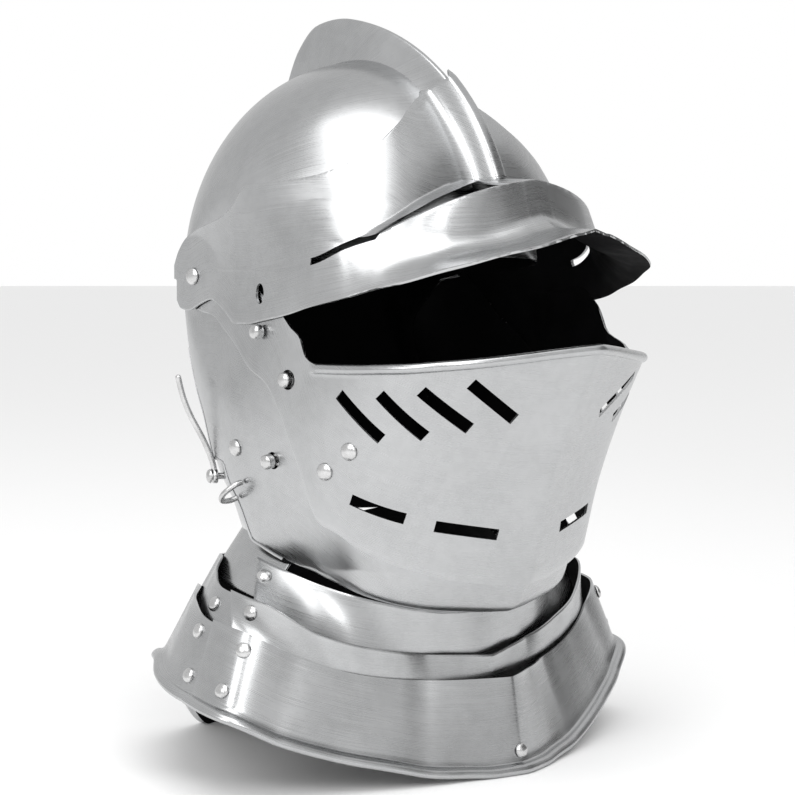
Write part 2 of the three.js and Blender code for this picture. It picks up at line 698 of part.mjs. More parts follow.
// The rivet sits on the flat between two columns of the lame
function lameRivet(lame, side, t, share, lift) {
  const before = Math.floor(t * lameSteps) / lameSteps;
  const after = before + 1 / lameSteps;
  const along = lamePoint(lame, side, after, share).sub(lamePoint(lame, side, before, share));
  const up = lamePoint(lame, side, t, 1).sub(lamePoint(lame, side, t, 0));
  const point = lamePoint(lame, side, before, share).addScaledVector(along, (t - before) * lameSteps);
  const out = along.cross(up).normalize();
  if (out.dot(point.clone().setY(point.y + gorgetCentre).setZ(0)) < 0) out.negate();
  return rivet(point.addScaledVector(out, lift), out, rivetHead.small);
}

// A bent rod through points
function bentRod(points, radius, steps, sides = 8) {
  const ring = new THREE.Shape(Array.from({ length: sides }, (unused, i) => {
    const turn = (i / sides) * 2 * Math.PI;
    return new THREE.Vector2(radius * Math.cos(turn), radius * Math.sin(turn));
  }));
  const path = new THREE.CatmullRomCurve3(points);
  return new THREE.ExtrudeGeometry(ring, { steps, bevelEnabled: false, extrudePath: path });
}

const helmet = new THREE.Group();
helmet.position.set(0, centreForward, pivotHeight);
const pivotBores = [pivotBore(left), pivotBore(right)];

const hookSeat = onPlate(bevorRatio, right * fittings.hookPin[0], fittings.hookPin[1]);
const hookOut = normalAt(bevorRatio, hookSeat).setZ(0).normalize();
const hookBore = aim(new THREE.CylinderGeometry(2.3, 2.3, 20, 10), hookSeat, hookOut);
add(helmet, 'skull', cut(skullGeometry(), [...pivotBores, hookBore]));
add(helmet, 'visor', cut(visorGeometry(), [
  ...pivotBores,
  sightTool(right),
  sightTool(left),
  bore(browRatio, fittings.visorHole, right, 3, 1.9),
]));
const slots = [right, left].flatMap((side) => breaths.map((slot) => slotTool(ventailRatio, side, slot)));
add(helmet, 'ventail', cut(ventailGeometry(), [
  ...slots,
  ...pivotBores,
  bore(ventailRatio, fittings.studA, right, 2.6),
  bore(ventailRatio, fittings.studB, right, 5.2),
]));
add(helmet, 'bevor', cut(bevorGeometry(), [
  ...pivotBores,
  bore(bevorRatio, fittings.studA, right, 4.4),
  bore(bevorRatio, fittings.studB, right, 2.6),
  bore(bevorRatio, fittings.studC, right, 4.6),
]));

const lames = [
  { name: 'gorget_front_1', top: frontRings.neckTop, low: frontRings.neckLow, end: 'front' },
  { name: 'gorget_front_2', top: frontRings.secondTop, low: frontRings.secondLow, end: 'front' },
  { name: 'gorget_front_3', top: frontRings.thirdTop, low: frontRings.thirdLow, end: 'front', rolled: true },
  { name: 'gorget_rear_1', top: rearRings.neckTop, low: rearRings.neckLow, end: 'rear' },
  { name: 'gorget_rear_2', top: rearRings.secondTop, low: rearRings.secondLow, end: 'rear' },
  { name: 'gorget_rear_3', top: rearRings.thirdTop, low: rearRings.thirdLow, end: 'rear', rolled: true },
];
for (const lame of lames) {
  const columns = lameColumns(lame, lameSteps);
  add(helmet, lame.name, lame.rolled ? rolledLame(columns, lame.end === 'rear') : plate(columns));
}

for (const { name, lame, t, share, lift } of lameRivets) {
  const carrier = lames.find((entry) => entry.name === lame);
  add(helmet, `${name}_right`, lameRivet(carrier, right, t, share, lift));
  add(helmet, `${name}_left`, lameRivet(carrier, left, t, share, lift));
}
add(helmet, 'rivet_front_middle', lameRivet(lames[2], right, 0, 0.23, 0));

add(helmet, 'pivot_right', pivotPin(right));
add(helmet, 'pivot_left', pivotPin(left));
add(helmet, 'catch_visor', stud(ventailRatio, fittings.studA, right, sheet + clearance));
add(helmet, 'catch_ventail', stud(bevorRatio, fittings.studB, right, sheet + clearance));
add(helmet, 'catch_bevor', stud(bevorRatio, fittings.studC, right, sheet + 2.5 * clearance, 6.4));
add(helmet, 'rivet_bevor', plateRivet(bevorRatio, fittings.rivetD, right, rivetHead.large));
add(helmet, 'rivet_ventail', plateRivet(ventailRatio, fittings.rivetE, right, rivetHead.large));
add(helmet, 'rivet_ventail_low', plateRivet(ventailRatio, fittings.rivetF, right, rivetHead.large));

// Hook on the skull's neck, at rest pointing up, and the staple on the bevor that it goes through
const hookBack = new THREE.Vector3(0, 0, 1).cross(hookOut).normalize();
const hookPoint = (out, back, up) => hookSeat.clone()
  .addScaledVector(hookOut, out)
  .addScaledVector(hookBack, back)
  .add(new THREE.Vector3(0, 0, up));
const hookPath = [[2.6, 0, 0], [4, 0, 8], [9, 1, 20], [16, 2, 33], [20.5, 3, 44], [23.5, 3.5, 56]];
const hookRod = bentRod(hookPath.map(([out, back, up]) => hookPoint(out, back, up)), 1.6, 9, 6);
const hookEye = aim(new THREE.CylinderGeometry(4, 4, 2.6, 10), hookPoint(2.6, 0, 0), hookOut);
const hookHole = aim(new THREE.CylinderGeometry(2.3, 2.3, 12, 10), hookPoint(2.6, 0, 0), hookOut);
add(helmet, 'hook', cut(join([hookEye, hookRod]), [hookHole]));

const hookPinProfile = [
  [0, -8.6], [3.6, -8.6], [3.6, -7.2], [1.8, -7.2], [1.8, 5], [3.9, 5], [3.2, 6.5], [0, 7.3],
];
const hookPinCurve = hookPinProfile.map(([r, y]) => new THREE.Vector2(r, y));
add(helmet, 'hook_pin', aim(new THREE.LatheGeometry(hookPinCurve, 8), hookSeat, hookOut));

const staplePoint = (angle, h, out) => {
  const foot = onPlate(bevorRatio, right * angle, h);
  return foot.addScaledVector(normalAt(bevorRatio, foot), out);
};
const staplePath = [
  staplePoint(86.5, -109, clearance), staplePoint(86.7, -109.3, 6), staplePoint(88.5, -112, 11.5),
  staplePoint(90.8, -115.5, 11.5), staplePoint(92.6, -118, 6), staplePoint(92.8, -118.3, clearance),
];
add(helmet, 'staple', bentRod(staplePath, 1.5, 10, 6));

export default helmet;
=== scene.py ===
# Close helmet in satin plate steel: combed skull, visor with a stepped peak, ventail, bevor
# and laminated gorget
# Every plate is a surface over a grid, worked out in millimetres in the frame of the pivot:
# x to the wearer's left, f forward of the pivot axis, h above it.
import math
import bmesh
import bpy
import numpy as np
from mathutils import Matrix, Vector


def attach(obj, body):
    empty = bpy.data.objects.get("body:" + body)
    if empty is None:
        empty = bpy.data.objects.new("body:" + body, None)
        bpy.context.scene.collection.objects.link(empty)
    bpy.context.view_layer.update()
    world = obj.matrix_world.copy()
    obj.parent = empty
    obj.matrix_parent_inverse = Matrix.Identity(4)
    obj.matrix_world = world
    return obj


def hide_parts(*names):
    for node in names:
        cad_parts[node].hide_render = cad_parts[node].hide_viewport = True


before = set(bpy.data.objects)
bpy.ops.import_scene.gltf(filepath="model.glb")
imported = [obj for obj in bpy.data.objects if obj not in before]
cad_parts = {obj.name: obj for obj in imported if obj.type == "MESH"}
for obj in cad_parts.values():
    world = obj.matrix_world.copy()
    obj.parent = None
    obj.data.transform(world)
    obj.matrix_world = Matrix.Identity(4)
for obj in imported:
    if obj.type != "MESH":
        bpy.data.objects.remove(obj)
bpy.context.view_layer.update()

helmet = {
    "pivotHeight": 261.6,  # pivot axis above the ground
    "centreForward": 72.5,  # middle of the length, forward of the pivot axis
    "sheet": 1.3,
    "rimRoll": 2.7,  # radius of the rolled edges
    "sideFlat": 22.0,  # the sides are flat this far round the pivot
    "sideSlope": 0.16,  # and then spread outwards by this much
    "wedge": 0.31,  # how sharp the face plates' prow is
    "prowSoftness": 1.6,  # rounding of the prow's edge
    "rimRounding": 0.32,  # bevel on every cut edge
    "bevorBehind": 3.2,  # the bevor's front lies this far behind the ventail's
    "neckInside": 2.3,  # the skull's neck lies this far inside the bevor's plan
    "skullUnderBrow": 3.9,  # and its forehead this far under the visor's brow
    "leftArmTuck": 5.4,  # the ventail's left arm lies this far in, under the visor
}
degrees = 180 / np.pi


def along(table, key, column=1):
    # Smooth monotone cubic through the rows of a short table: the slope at a row is the weighted
    # harmonic mean of the slopes on its two sides, or zero where they differ in sign
    rows = np.asarray(table, dtype=float)
    keys, values = rows[:, 0], rows[:, column]
    step = np.diff(keys)
    rise = np.diff(values) / step
    slope = np.zeros_like(values)
    same = rise[:-1] * rise[1:] > 0
    before = 2 * step[1:] + step[:-1]
    after = step[1:] + 2 * step[:-1]
    safeLeft = np.where(same, rise[:-1], 1)
    safeRight = np.where(same, rise[1:], 1)
    slope[1:-1] = np.where(same, (before + after) / (before / safeLeft + after / safeRight), 0)
    slope[0], slope[-1] = rise[0], rise[-1]
    key = np.clip(key, keys[0], keys[-1])
    i = np.clip(np.searchsorted(keys, key, side="right") - 1, 0, len(keys) - 2)
    s = (key - keys[i]) / step[i]
    start = (1 + 2 * s) * (1 - s) ** 2 * values[i] + s * (1 - s) ** 2 * step[i] * slope[i]
    end = s * s * (3 - 2 * s) * values[i + 1] - s * s * (1 - s) * step[i] * slope[i + 1]
    return start + end


def ease(t):
    # 3t² - 2t³ between 0 and 1
    t = np.clip(t, 0, 1)
    return t * t * (3 - 2 * t)


def mix(a, b, t):
    return a + (b - a) * t


def place(x, f, h):
    # Pivot frame to the common frame, still in millimetres
    x, f, h = np.broadcast_arrays(x, f, h)
    return np.stack([x, helmet["centreForward"] - f, h + helmet["pivotHeight"]], axis=-1)


def softLargest(*ratios):
    # Sixtieth root of the sum of sixtieth powers: the largest, with its creases rounded
    return sum(ratio ** 60 for ratio in ratios) ** (1 / 60)


# The plates' surfaces, as ratios: below 1 inside, 1 on the surface
faceProfile = [[-178, 152], [-161, 160], [-112, 173], [-84, 184], [-34, 210], [0, 231]]  # height, forward
throatPlan = [  # height, centre forward, half width
    [-151, 60, 83], [-126, 58, 89.3], [-105, 52, 94.5], [-78, 47, 97.4], [-56, 40, 98.4], [-30, 36, 99.6],
    [0, 34, 101.3],
]
ventailPlan = [[-161, 93], [-126, 97], [-105, 99.4], [-58, 101.4], [0, 101.4]]  # height, half width
bowl = {"half": 99.0, "height": 119.0, "forward": 34.0}
pivotHalf = {"visor": 94.0, "ventail": 91.7, "bevor": 89.4, "skull": 87.1}
brow = {"half": 104.4, "radius": 136.5, "squareness": [[-8, 9], [15, 7], [28, 4.6], [40, 3.6], [100, 2.6]]}


def sideRatio(x, f, h, half):
    # Flat round the pivot, then spreading with the distance from it
    spread = np.maximum(0, np.hypot(f, h) - helmet["sideFlat"])
    return np.abs(x) / (half + helmet["sideSlope"] * spread)


def prowRatio(x, f, half, centre, front, power):
    # Behind the centre a circle; in front of it a superellipse whose forward distance grows with |x|
    across = np.sqrt(x * x + helmet["prowSoftness"] ** 2) - helmet["prowSoftness"]
    ahead = np.maximum(0, (f - centre + helmet["wedge"] * across) / (front - centre))
    front = (ahead ** power + (np.abs(x) / half) ** power) ** (1 / power)
    return np.where(f < centre, np.hypot(x, f - centre) / half, front)


def ventailRatio(x, f, h):
    arm = ease((h + 45) / 10) * ease((f - 76) / 16) * ease((154 - f) / 12)
    tuck = np.where(x > 0, helmet["leftArmTuck"] * arm, 0)
    half = along(ventailPlan, h) - tuck
    return softLargest(prowRatio(x, f, half, 34, along(faceProfile, h) - tuck, 6),
                       sideRatio(x, f, h, pivotHalf["ventail"]))


def bevorRatio(x, f, h):
    front = along(faceProfile, h) - helmet["bevorBehind"]
    plan = prowRatio(x, f, along(throatPlan, h, 2), along(throatPlan, h), front, 5)
    return softLargest(plan, sideRatio(x, f, h, pivotHalf["bevor"]))


def browRatio(x, f, h):
    # Superellipse of |x| and the distance from the pivot axis, squarer low down
    power = along(brow["squareness"], h)
    ring = ((np.abs(x) / brow["half"]) ** power + (np.hypot(f, h) / brow["radius"]) ** power) ** (1 / power)
    return softLargest(ring, sideRatio(x, f, h, pivotHalf["visor"]))


def skullRatio(x, f, h):
    # An ellipsoid above the pivot, a round neck below it, and everywhere under the brow of the visor
    level = (x / bowl["half"]) ** 2 + ((f - bowl["forward"]) / bowl["half"]) ** 2
    dome = np.sqrt(level + (h / bowl["height"]) ** 2)
    neck = np.hypot(x, f - along(throatPlan, h)) / (along(throatPlan, h, 2) - helmet["neckInside"])
    underBrow = np.where(h > 0, np.hypot(f, h) / (brow["radius"] - helmet["skullUnderBrow"]), 0.01)
    return softLargest(np.where(h >= 0, dome, neck), underBrow, sideRatio(x, f, h, pivotHalf["skull"]))


def reach(ratio, x, f, h, dx, df, dh):
    # Distance to a surface along a direction, by halving
    x, f, h, dx, df, dh = np.broadcast_arrays(x, f, h, dx, df, dh)
    low = np.zeros(x.shape)
    high = np.full(x.shape, 300.0)
    for _ in range(34):
        middle = (low + high) / 2
        inside = ratio(x + dx * middle, f + df * middle, h + dh * middle) < 1
        low = np.where(inside, middle, low)
        high = np.where(inside, high, middle)
    return low


def around(angle, radius, h, centre=34.0):
    # Point at a plan angle: 0 is the front, positive to the wearer's left
    turn = np.radians(angle)
    return place(radius * np.sin(turn), centre + radius * np.cos(turn), h)


def planReach(ratio, angle, h):
    turn = np.radians(angle)
    return reach(ratio, 0.0, bowl["forward"], h, np.sin(turn), np.cos(turn), 0.0)


def onPlate(ratio, angle, h):
    return around(angle, planReach(ratio, angle, h), h)


def normalOf(ratio, point):
    # Gradient of the ratio, by differences
    step = 0.6

    def value(dx, dy, dz):
        x, y, z = point[..., 0] + dx, point[..., 1] + dy, point[..., 2] + dz
        return ratio(x, helmet["centreForward"] - y, z - helmet["pivotHeight"])

    grad = np.stack([
        value(step, 0, 0) - value(-step, 0, 0),
        value(0, step, 0) - value(0, -step, 0),
        value(0, 0, step) - value(0, 0, -step),
    ], axis=-1)
    return grad / np.linalg.norm(grad, axis=-1, keepdims=True)


def unit(v):
    return v / np.maximum(np.linalg.norm(v, axis=-1, keepdims=True), 1e-9)


def gridNormals(grid):
    return unit(np.cross(np.gradient(grid, axis=0), np.gradient(grid, axis=1)))


# Materials
steelLook = {
    "base": (0.47, 0.475, 0.48),
    "roughness": 0.27,
    "anisotropy": 0.45,
    "scratchDepth": 0.00001,
    # painted shade: the near-black colour of the inner faces of every plate
    "inside": (0.004, 0.004, 0.0045),
    "fitting": ((0.5, 0.5, 0.5), (0.68, 0.68, 0.68)),  # darker and lighter tone, mixed by a noise
    "dentDepth": 0.0006,
}


def nodeMaterial(name):
    material = bpy.data.materials.new(name)
    material.use_nodes = True
    tree = material.node_tree
    tree.nodes.clear()
    out = tree.nodes.new("ShaderNodeOutputMaterial")
    shader = tree.nodes.new("ShaderNodeBsdfPrincipled")
    tree.links.new(shader.outputs["BSDF"], out.inputs["Surface"])
    return material, tree, shader


def noiseAt(tree, source, scale, detail, stretch=(1, 1, 1), roughness=0.55):
    mapping = tree.nodes.new("ShaderNodeMapping")
    mapping.inputs["Scale"].default_value = stretch
    noise = tree.nodes.new("ShaderNodeTexNoise")
    noise.inputs["Scale"].default_value = scale
    noise.inputs["Detail"].default_value = detail
    noise.inputs["Roughness"].default_value = roughness
    tree.links.new(source, mapping.inputs["Vector"])
    tree.links.new(mapping.outputs["Vector"], noise.inputs["Vector"])
    return noise.outputs["Fac"]


def ramp(tree, source, low, high, fromLow=0.3, fromHigh=0.7):
    node = tree.nodes.new("ShaderNodeMapRange")
    node.inputs["From Min"].default_value = fromLow
    node.inputs["From Max"].default_value = fromHigh
    node.inputs["To Min"].default_value = low
    node.inputs["To Max"].default_value = high
    tree.links.new(source, node.inputs["Value"])
    return node.outputs["Result"]


def join(tree, kind, a, b):
    node = tree.nodes.new("ShaderNodeMath")
    node.operation = kind
    for socket, value in zip(node.inputs, (a, b)):
        if isinstance(value, (int, float)):
            socket.default_value = value
        else:
            tree.links.new(value, socket)
    return node.outputs["Value"]


def colourBetween(tree, share, dark, light):
    node = tree.nodes.new("ShaderNodeMix")
    node.data_type = "RGBA"
    node.inputs["A"].default_value = (*dark, 1)
    node.inputs["B"].default_value = (*light, 1)
    tree.links.new(share, node.inputs["Factor"])
    return node.outputs["Result"]


def brushedSteel(name, base, roughness):
    # Roughness = plain + broad hand-polished patches + long fine brush lines - the bright worn edge;
    # the lines also lift the surface a few micrometres
    material, tree, shader = nodeMaterial(name)
    uv = tree.nodes.new("ShaderNodeUVMap")
    uv.uv_map = "brushMap"
    coordinates = tree.nodes.new("ShaderNodeTexCoord")
    lines = noiseAt(tree, uv.outputs["UV"], 1.0, 4, (26, 2400, 1))
    longLines = noiseAt(tree, uv.outputs["UV"], 1.0, 2, (9, 700, 1))
    patches = noiseAt(tree, coordinates.outputs["Object"], 22, 3)
    spots = noiseAt(tree, coordinates.outputs["Object"], 160, 2)
    wear = tree.nodes.new("ShaderNodeAttribute")
    wear.attribute_name = "edgeWear"
    broad = ramp(tree, patches, roughness - 0.035, roughness + 0.05)
    rough = join(tree, "ADD", broad, ramp(tree, lines, -0.05, 0.06))
    rough = join(tree, "ADD", rough, ramp(tree, longLines, -0.02, 0.03))
    rough = join(tree, "SUBTRACT", rough, ramp(tree, wear.outputs["Fac"], 0, 0.08, 0, 1))
    tree.links.new(rough, shader.inputs["Roughness"])
    share = join(tree, "ADD", ramp(tree, patches, 0, 0.5), ramp(tree, lines, 0, 0.3))
    share = join(tree, "ADD", share, ramp(tree, spots, 0, 0.2, 0.35, 0.6))
    share = join(tree, "ADD", share, ramp(tree, wear.outputs["Fac"], 0, 0.35, 0, 1))
    dark = tuple(c * 0.9 for c in base)
    light = tuple(min(1, c * 1.12) for c in base)
    tree.links.new(colourBetween(tree, share, dark, light), shader.inputs["Base Color"])
    bump = tree.nodes.new("ShaderNodeBump")
    bump.inputs["Strength"].default_value = 0.5
    bump.inputs["Distance"].default_value = steelLook["scratchDepth"]
    tree.links.new(lines, bump.inputs["Height"])
    dents = tree.nodes.new("ShaderNodeBump")
    dents.inputs["Strength"].default_value = 0.35
    dents.inputs["Distance"].default_value = steelLook["dentDepth"]
    tree.links.new(noiseAt(tree, coordinates.outputs["Object"], 14, 1), dents.inputs["Height"])
    tree.links.new(dents.outputs["Normal"], bump.inputs["Normal"])
    tree.links.new(bump.outputs["Normal"], shader.inputs["Normal"])
    tangent = tree.nodes.new("ShaderNodeTangent")
    tangent.direction_type = "UV_MAP"
    tangent.uv_map = "brushMap"
    tree.links.new(tangent.outputs["Tangent"], shader.inputs["Tangent"])
    shader.inputs["Metallic"].default_value = 1
    shader.inputs["Anisotropic"].default_value = steelLook["anisotropy"]
    return material


def paintedShadeInside(name):
    # Painted shade inside the plates: near black so the interior reads as shadowed, with lighter scratches
    # where the noise is high
    material, tree, shader = nodeMaterial(name)
    coordinates = tree.nodes.new("ShaderNodeTexCoord")
    scale = noiseAt(tree, coordinates.outputs["Object"], 90, 5)
    dark = steelLook["inside"]
    light = tuple(c * 1.8 for c in dark)
    scratched = colourBetween(tree, ramp(tree, scale, 0, 1, 0.4, 0.75), dark, light)
    tree.links.new(scratched, shader.inputs["Base Color"])
    tree.links.new(ramp(tree, scale, 0.62, 0.85), shader.inputs["Roughness"])
    bump = tree.nodes.new("ShaderNodeBump")
    bump.inputs["Strength"].default_value = 0.3
    bump.inputs["Distance"].default_value = 0.0002
    tree.links.new(scale, bump.inputs["Height"])
    tree.links.new(bump.outputs["Normal"], shader.inputs["Normal"])
    shader.inputs["Specular IOR Level"].default_value = 0.08
    return material


def turnedSteel(name):
    # Small fittings: smooth steel with fine speckle and a cloudy tone between darker and lighter
    material, tree, shader = nodeMaterial(name)
    coordinates = tree.nodes.new("ShaderNodeTexCoord")
    speckle = noiseAt(tree, coordinates.outputs["Object"], 900, 3)
    cloud = noiseAt(tree, coordinates.outputs["Object"], 120, 2)
    dark, light = steelLook["fitting"]
    tree.links.new(colourBetween(tree, ramp(tree, cloud, 0, 1), dark, light), shader.inputs["Base Color"])
    tree.links.new(ramp(tree, speckle, 0.2, 0.34), shader.inputs["Roughness"])
    bump = tree.nodes.new("ShaderNodeBump")
    bump.inputs["Strength"].default_value = 0.25
    bump.inputs["Distance"].default_value = 0.00005
    tree.links.new(speckle, bump.inputs["Height"])
    tree.links.new(bump.outputs["Normal"], shader.inputs["Normal"])
    shader.inputs["Metallic"].default_value = 1
    return material


plateSteel = brushedSteel("plateSteel", steelLook["base"], steelLook["roughness"])
insideShade = paintedShadeInside("insideShade")
fittingSteel = turnedSteel("fittingSteel")
print("materials made")


# Meshes
def finishObject(name, mesh, materials, body, nodes, sharp=40):
    if not mesh.materials:
        for material in materials:
            mesh.materials.append(material)
    mesh.polygons.foreach_set("use_smooth", np.ones(len(mesh.polygons), dtype=bool))
    mesh.set_sharp_from_angle(angle=math.radians(sharp))
    piece = bpy.data.objects.new(name, mesh)
    bpy.context.scene.collection.objects.link(piece)
    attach(piece, body)
    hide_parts(*nodes)
    return piece


def shellMesh(name, outer, inner, wearWidth=2.2):
    # A closed wall between two grids of points (millimetres). The UV map holds the distances
    # along both directions of the grid in metres, and edgeWear fades from the rim inwards
    across, up = outer.shape[:2]
    count = across * up
    points = np.concatenate([outer.reshape(-1, 3), inner.reshape(-1, 3)]) / 1000
    index = np.arange(count).reshape(across, up)

    def strip(a, b, c, d):
        return np.stack([a.ravel(), b.ravel(), c.ravel(), d.ravel()], axis=1)

    front = strip(index[:-1, :-1], index[1:, :-1], index[1:, 1:], index[:-1, 1:])
    back = front[:, ::-1] + count
    rims = [
        strip(index[:-1, 0], index[:-1, 0] + count, index[1:, 0] + count, index[1:, 0]),
        strip(index[:-1, -1], index[1:, -1], index[1:, -1] + count, index[:-1, -1] + count),
        strip(index[0, :-1], index[0, 1:], index[0, 1:] + count, index[0, :-1] + count),
        strip(index[-1, :-1], index[-1, :-1] + count, index[-1, 1:] + count, index[-1, 1:]),
    ]
    faces = np.concatenate([front, back, *rims])
    mesh = bpy.data.meshes.new(name)
    mesh.from_pydata(points, [], faces)
    # the inner faces take the second material, the painted shade
    inside = np.zeros(len(faces), dtype=np.int32)
    inside[len(front):len(front) + len(back)] = 1
    mesh.polygons.foreach_set("material_index", inside)
    lengthAcross = np.linalg.norm(np.diff(outer, axis=0), axis=-1).mean(axis=1)
    lengthUp = np.linalg.norm(np.diff(outer, axis=1), axis=-1)
    u = np.concatenate([[0], np.cumsum(lengthAcross)]) / 1000
    v = np.concatenate([np.zeros((across, 1)), np.cumsum(lengthUp, axis=1)], axis=1)
    fromRim = np.minimum(v, v[:, -1:] - v)
    ends = np.minimum(u, u[-1] - u)[:, None] * 1000
    wear = np.exp(-np.minimum(fromRim, ends) / wearWidth)
    uvGrid = np.stack([np.broadcast_to(u[:, None], v.shape), v / 1000], axis=-1).reshape(-1, 2)
    uvAll = np.concatenate([uvGrid, uvGrid])
    corners = np.empty(len(mesh.loops), dtype=np.int32)
    mesh.loops.foreach_get("vertex_index", corners)
    layer = mesh.uv_layers.new(name="brushMap")
    layer.uv.foreach_set("vector", uvAll[corners].astype(np.float32).ravel())
    attribute = mesh.attributes.new("edgeWear", "FLOAT", "POINT")
    attribute.data.foreach_set("value", np.tile(wear.ravel(), 2).astype(np.float32))
    mesh.update()
    return mesh


def plateMesh(name, outer):
    # The inner face lies one sheet behind the outer one, along the grid's own normals
    return shellMesh(name, outer, outer - gridNormals(outer) * helmet["sheet"])


def bothSides(half):
    # A left half, its first column on the middle plane, becomes a whole plate from right to left
    mirror = half[::-1][:-1].copy()
    mirror[..., 0] *= -1
    return np.concatenate([mirror, half])


def cutAway(mesh, cutters):
    # Rounds the rims first, then takes each cutter out of the plate; returns the finished mesh
    mesh.materials.append(plateSteel)
    mesh.materials.append(insideShade)
    piece = bpy.data.objects.new("cutting", mesh)
    bpy.context.scene.collection.objects.link(piece)
    rounding = piece.modifiers.new("rounding", "BEVEL")
    rounding.width = helmet["rimRounding"] / 1000
    rounding.segments = 2
    rounding.limit_method = "ANGLE"
    rounding.angle_limit = math.radians(50)
    helpers = []
    for cutter in cutters:
        cutter.polygons.foreach_set("material_index", np.zeros(len(cutter.polygons), dtype=np.int32))
        tool = bpy.data.objects.new("tool", cutter)
        bpy.context.scene.collection.objects.link(tool)
        step = piece.modifiers.new("cut", "BOOLEAN")
        step.operation = "DIFFERENCE"
        step.solver = "EXACT"
        step.object = tool
        helpers.append(tool)
    bpy.context.view_layer.update()
    graph = bpy.context.evaluated_depsgraph_get()
    result = bpy.data.meshes.new_from_object(piece.evaluated_get(graph), depsgraph=graph)
    result.name = mesh.name
    for thing in [piece, *helpers]:
        data = thing.data
        bpy.data.objects.remove(thing)
        bpy.data.meshes.remove(data)
    return result


def latheMesh(name, profile, point, direction, sides=28):
    # A profile of (radius, height) carried round an axis; the poles are merged
    profile = np.asarray(profile, dtype=float)
    turn = np.linspace(0, 2 * np.pi, sides, endpoint=False)
    radius, height = profile[:, 0], profile[:, 1]
    grid = np.stack([
        np.outer(np.cos(turn), radius),
        np.outer(np.sin(turn), radius),
        np.broadcast_to(height, (sides, len(height))),
    ], axis=-1)
    axis = unit(np.asarray(direction, dtype=float))
    aside = unit(np.cross(axis, [0.3, 0.2, 0.9]))
    third = np.cross(axis, aside)
    points = grid[..., :1] * aside + grid[..., 1:2] * third + grid[..., 2:] * axis + np.asarray(point)
    return ringMesh(name, points)


def ringMesh(name, points):
    # A surface over a grid closed round its first direction, with merged poles
    across, up = points.shape[:2]
    index = np.arange(across * up).reshape(across, up)
    after = np.roll(index, -1, axis=0)
    faces = np.stack([
        index[:, :-1].ravel(), after[:, :-1].ravel(), after[:, 1:].ravel(), index[:, 1:].ravel(),
    ], axis=1)
    mesh = bpy.data.meshes.new(name)
    mesh.from_pydata(points.reshape(-1, 3) / 1000, [], faces)
    work = bmesh.new()
    work.from_mesh(mesh)
    bmesh.ops.remove_doubles(work, verts=work.verts, dist=1e-6)
    bmesh.ops.dissolve_degenerate(work, edges=work.edges, dist=1e-7)
    bmesh.ops.recalc_face_normals(work, faces=work.faces)
    work.to_mesh(mesh)
    work.free()
    return mesh


def tubeMesh(name, controls, radius, samples=60, sides=16, endLength=0.9):
    # A circle carried along a curve through points (Catmull-Rom), closing to a point over its
    # last stretch as a quarter circle does
    controls = np.asarray(controls, dtype=float)
    padded = np.concatenate([[2 * controls[0] - controls[1]], controls, [2 * controls[-1] - controls[-2]]])
    stretch = np.linspace(0, len(controls) - 1 - 1e-6, samples)
    i = stretch.astype(int)
    t = (stretch - i)[:, None]
    p0, p1, p2, p3 = padded[i], padded[i + 1], padded[i + 2], padded[i + 3]
    square = 2 * p0 - 5 * p1 + 4 * p2 - p3
    cube = 3 * p1 - p0 - 3 * p2 + p3
    path = 0.5 * (2 * p1 + (p2 - p0) * t + square * t ** 2 + cube * t ** 3)
    length = np.concatenate([[0], np.cumsum(np.linalg.norm(np.diff(path, axis=0), axis=1))])
    even = np.linspace(0, length[-1], samples)
    # Closer samples at both ends, where the tube closes
    even = length[-1] * (0.5 - 0.5 * np.cos(np.pi * even / length[-1])) * 0.35 + even * 0.65
    path = np.stack([np.interp(even, length, path[:, k]) for k in range(3)], axis=-1)
    tangent = unit(np.gradient(path, axis=0))
    reference = unit(np.cross(path[-1] - path[0], path[len(path) // 2] - path[0]) + 1e-6)
    aside = unit(np.cross(tangent, reference))
    third = np.cross(tangent, aside)
    closing = np.clip(np.minimum(even, length[-1] - even) / (radius * endLength), 0, 1)
    size = radius * np.sqrt(1 - (1 - closing) ** 2)
    turn = np.linspace(0, 2 * np.pi, sides, endpoint=False)[:, None, None]
    points = path + size[:, None] * (np.cos(turn) * aside + np.sin(turn) * third)
    return ringMesh(name, points)


# Skull
skull = {
    "combRadius": [  # angle up from the front about the pivot axis, radius
        [0, 146.4], [80, 146.4], [90, 143], [97, 131], [103, 114], [110, 96], [115, 82], [180, 40],
    ],
    "combShare": [[0, 1], [1.1, 0.99], [2.2, 0.9], [3.3, 0.4], [5, 0.06], [9.5, 0]],  # distance aside, share
    "browAngle": 6,  # where the face opening starts, about the bowl's centre
    "neckLow": -138,
    "tuck": 7.5,  # how far the cheeks step in under the bevor
}
bevorRearEdge = [  # height, plan angle
    [-138, 93], [-121, 94], [-111, 97], [-99, 98], [-97, 110], [-74, 114], [-54, 118], [-34, 123], [0, 128],
]
cheekEdge = [[-138, 86], [-121, 87], [-104, 91], [-92, 103], [-74, 107], [-54, 111], [-30, 115], [0, 98]]


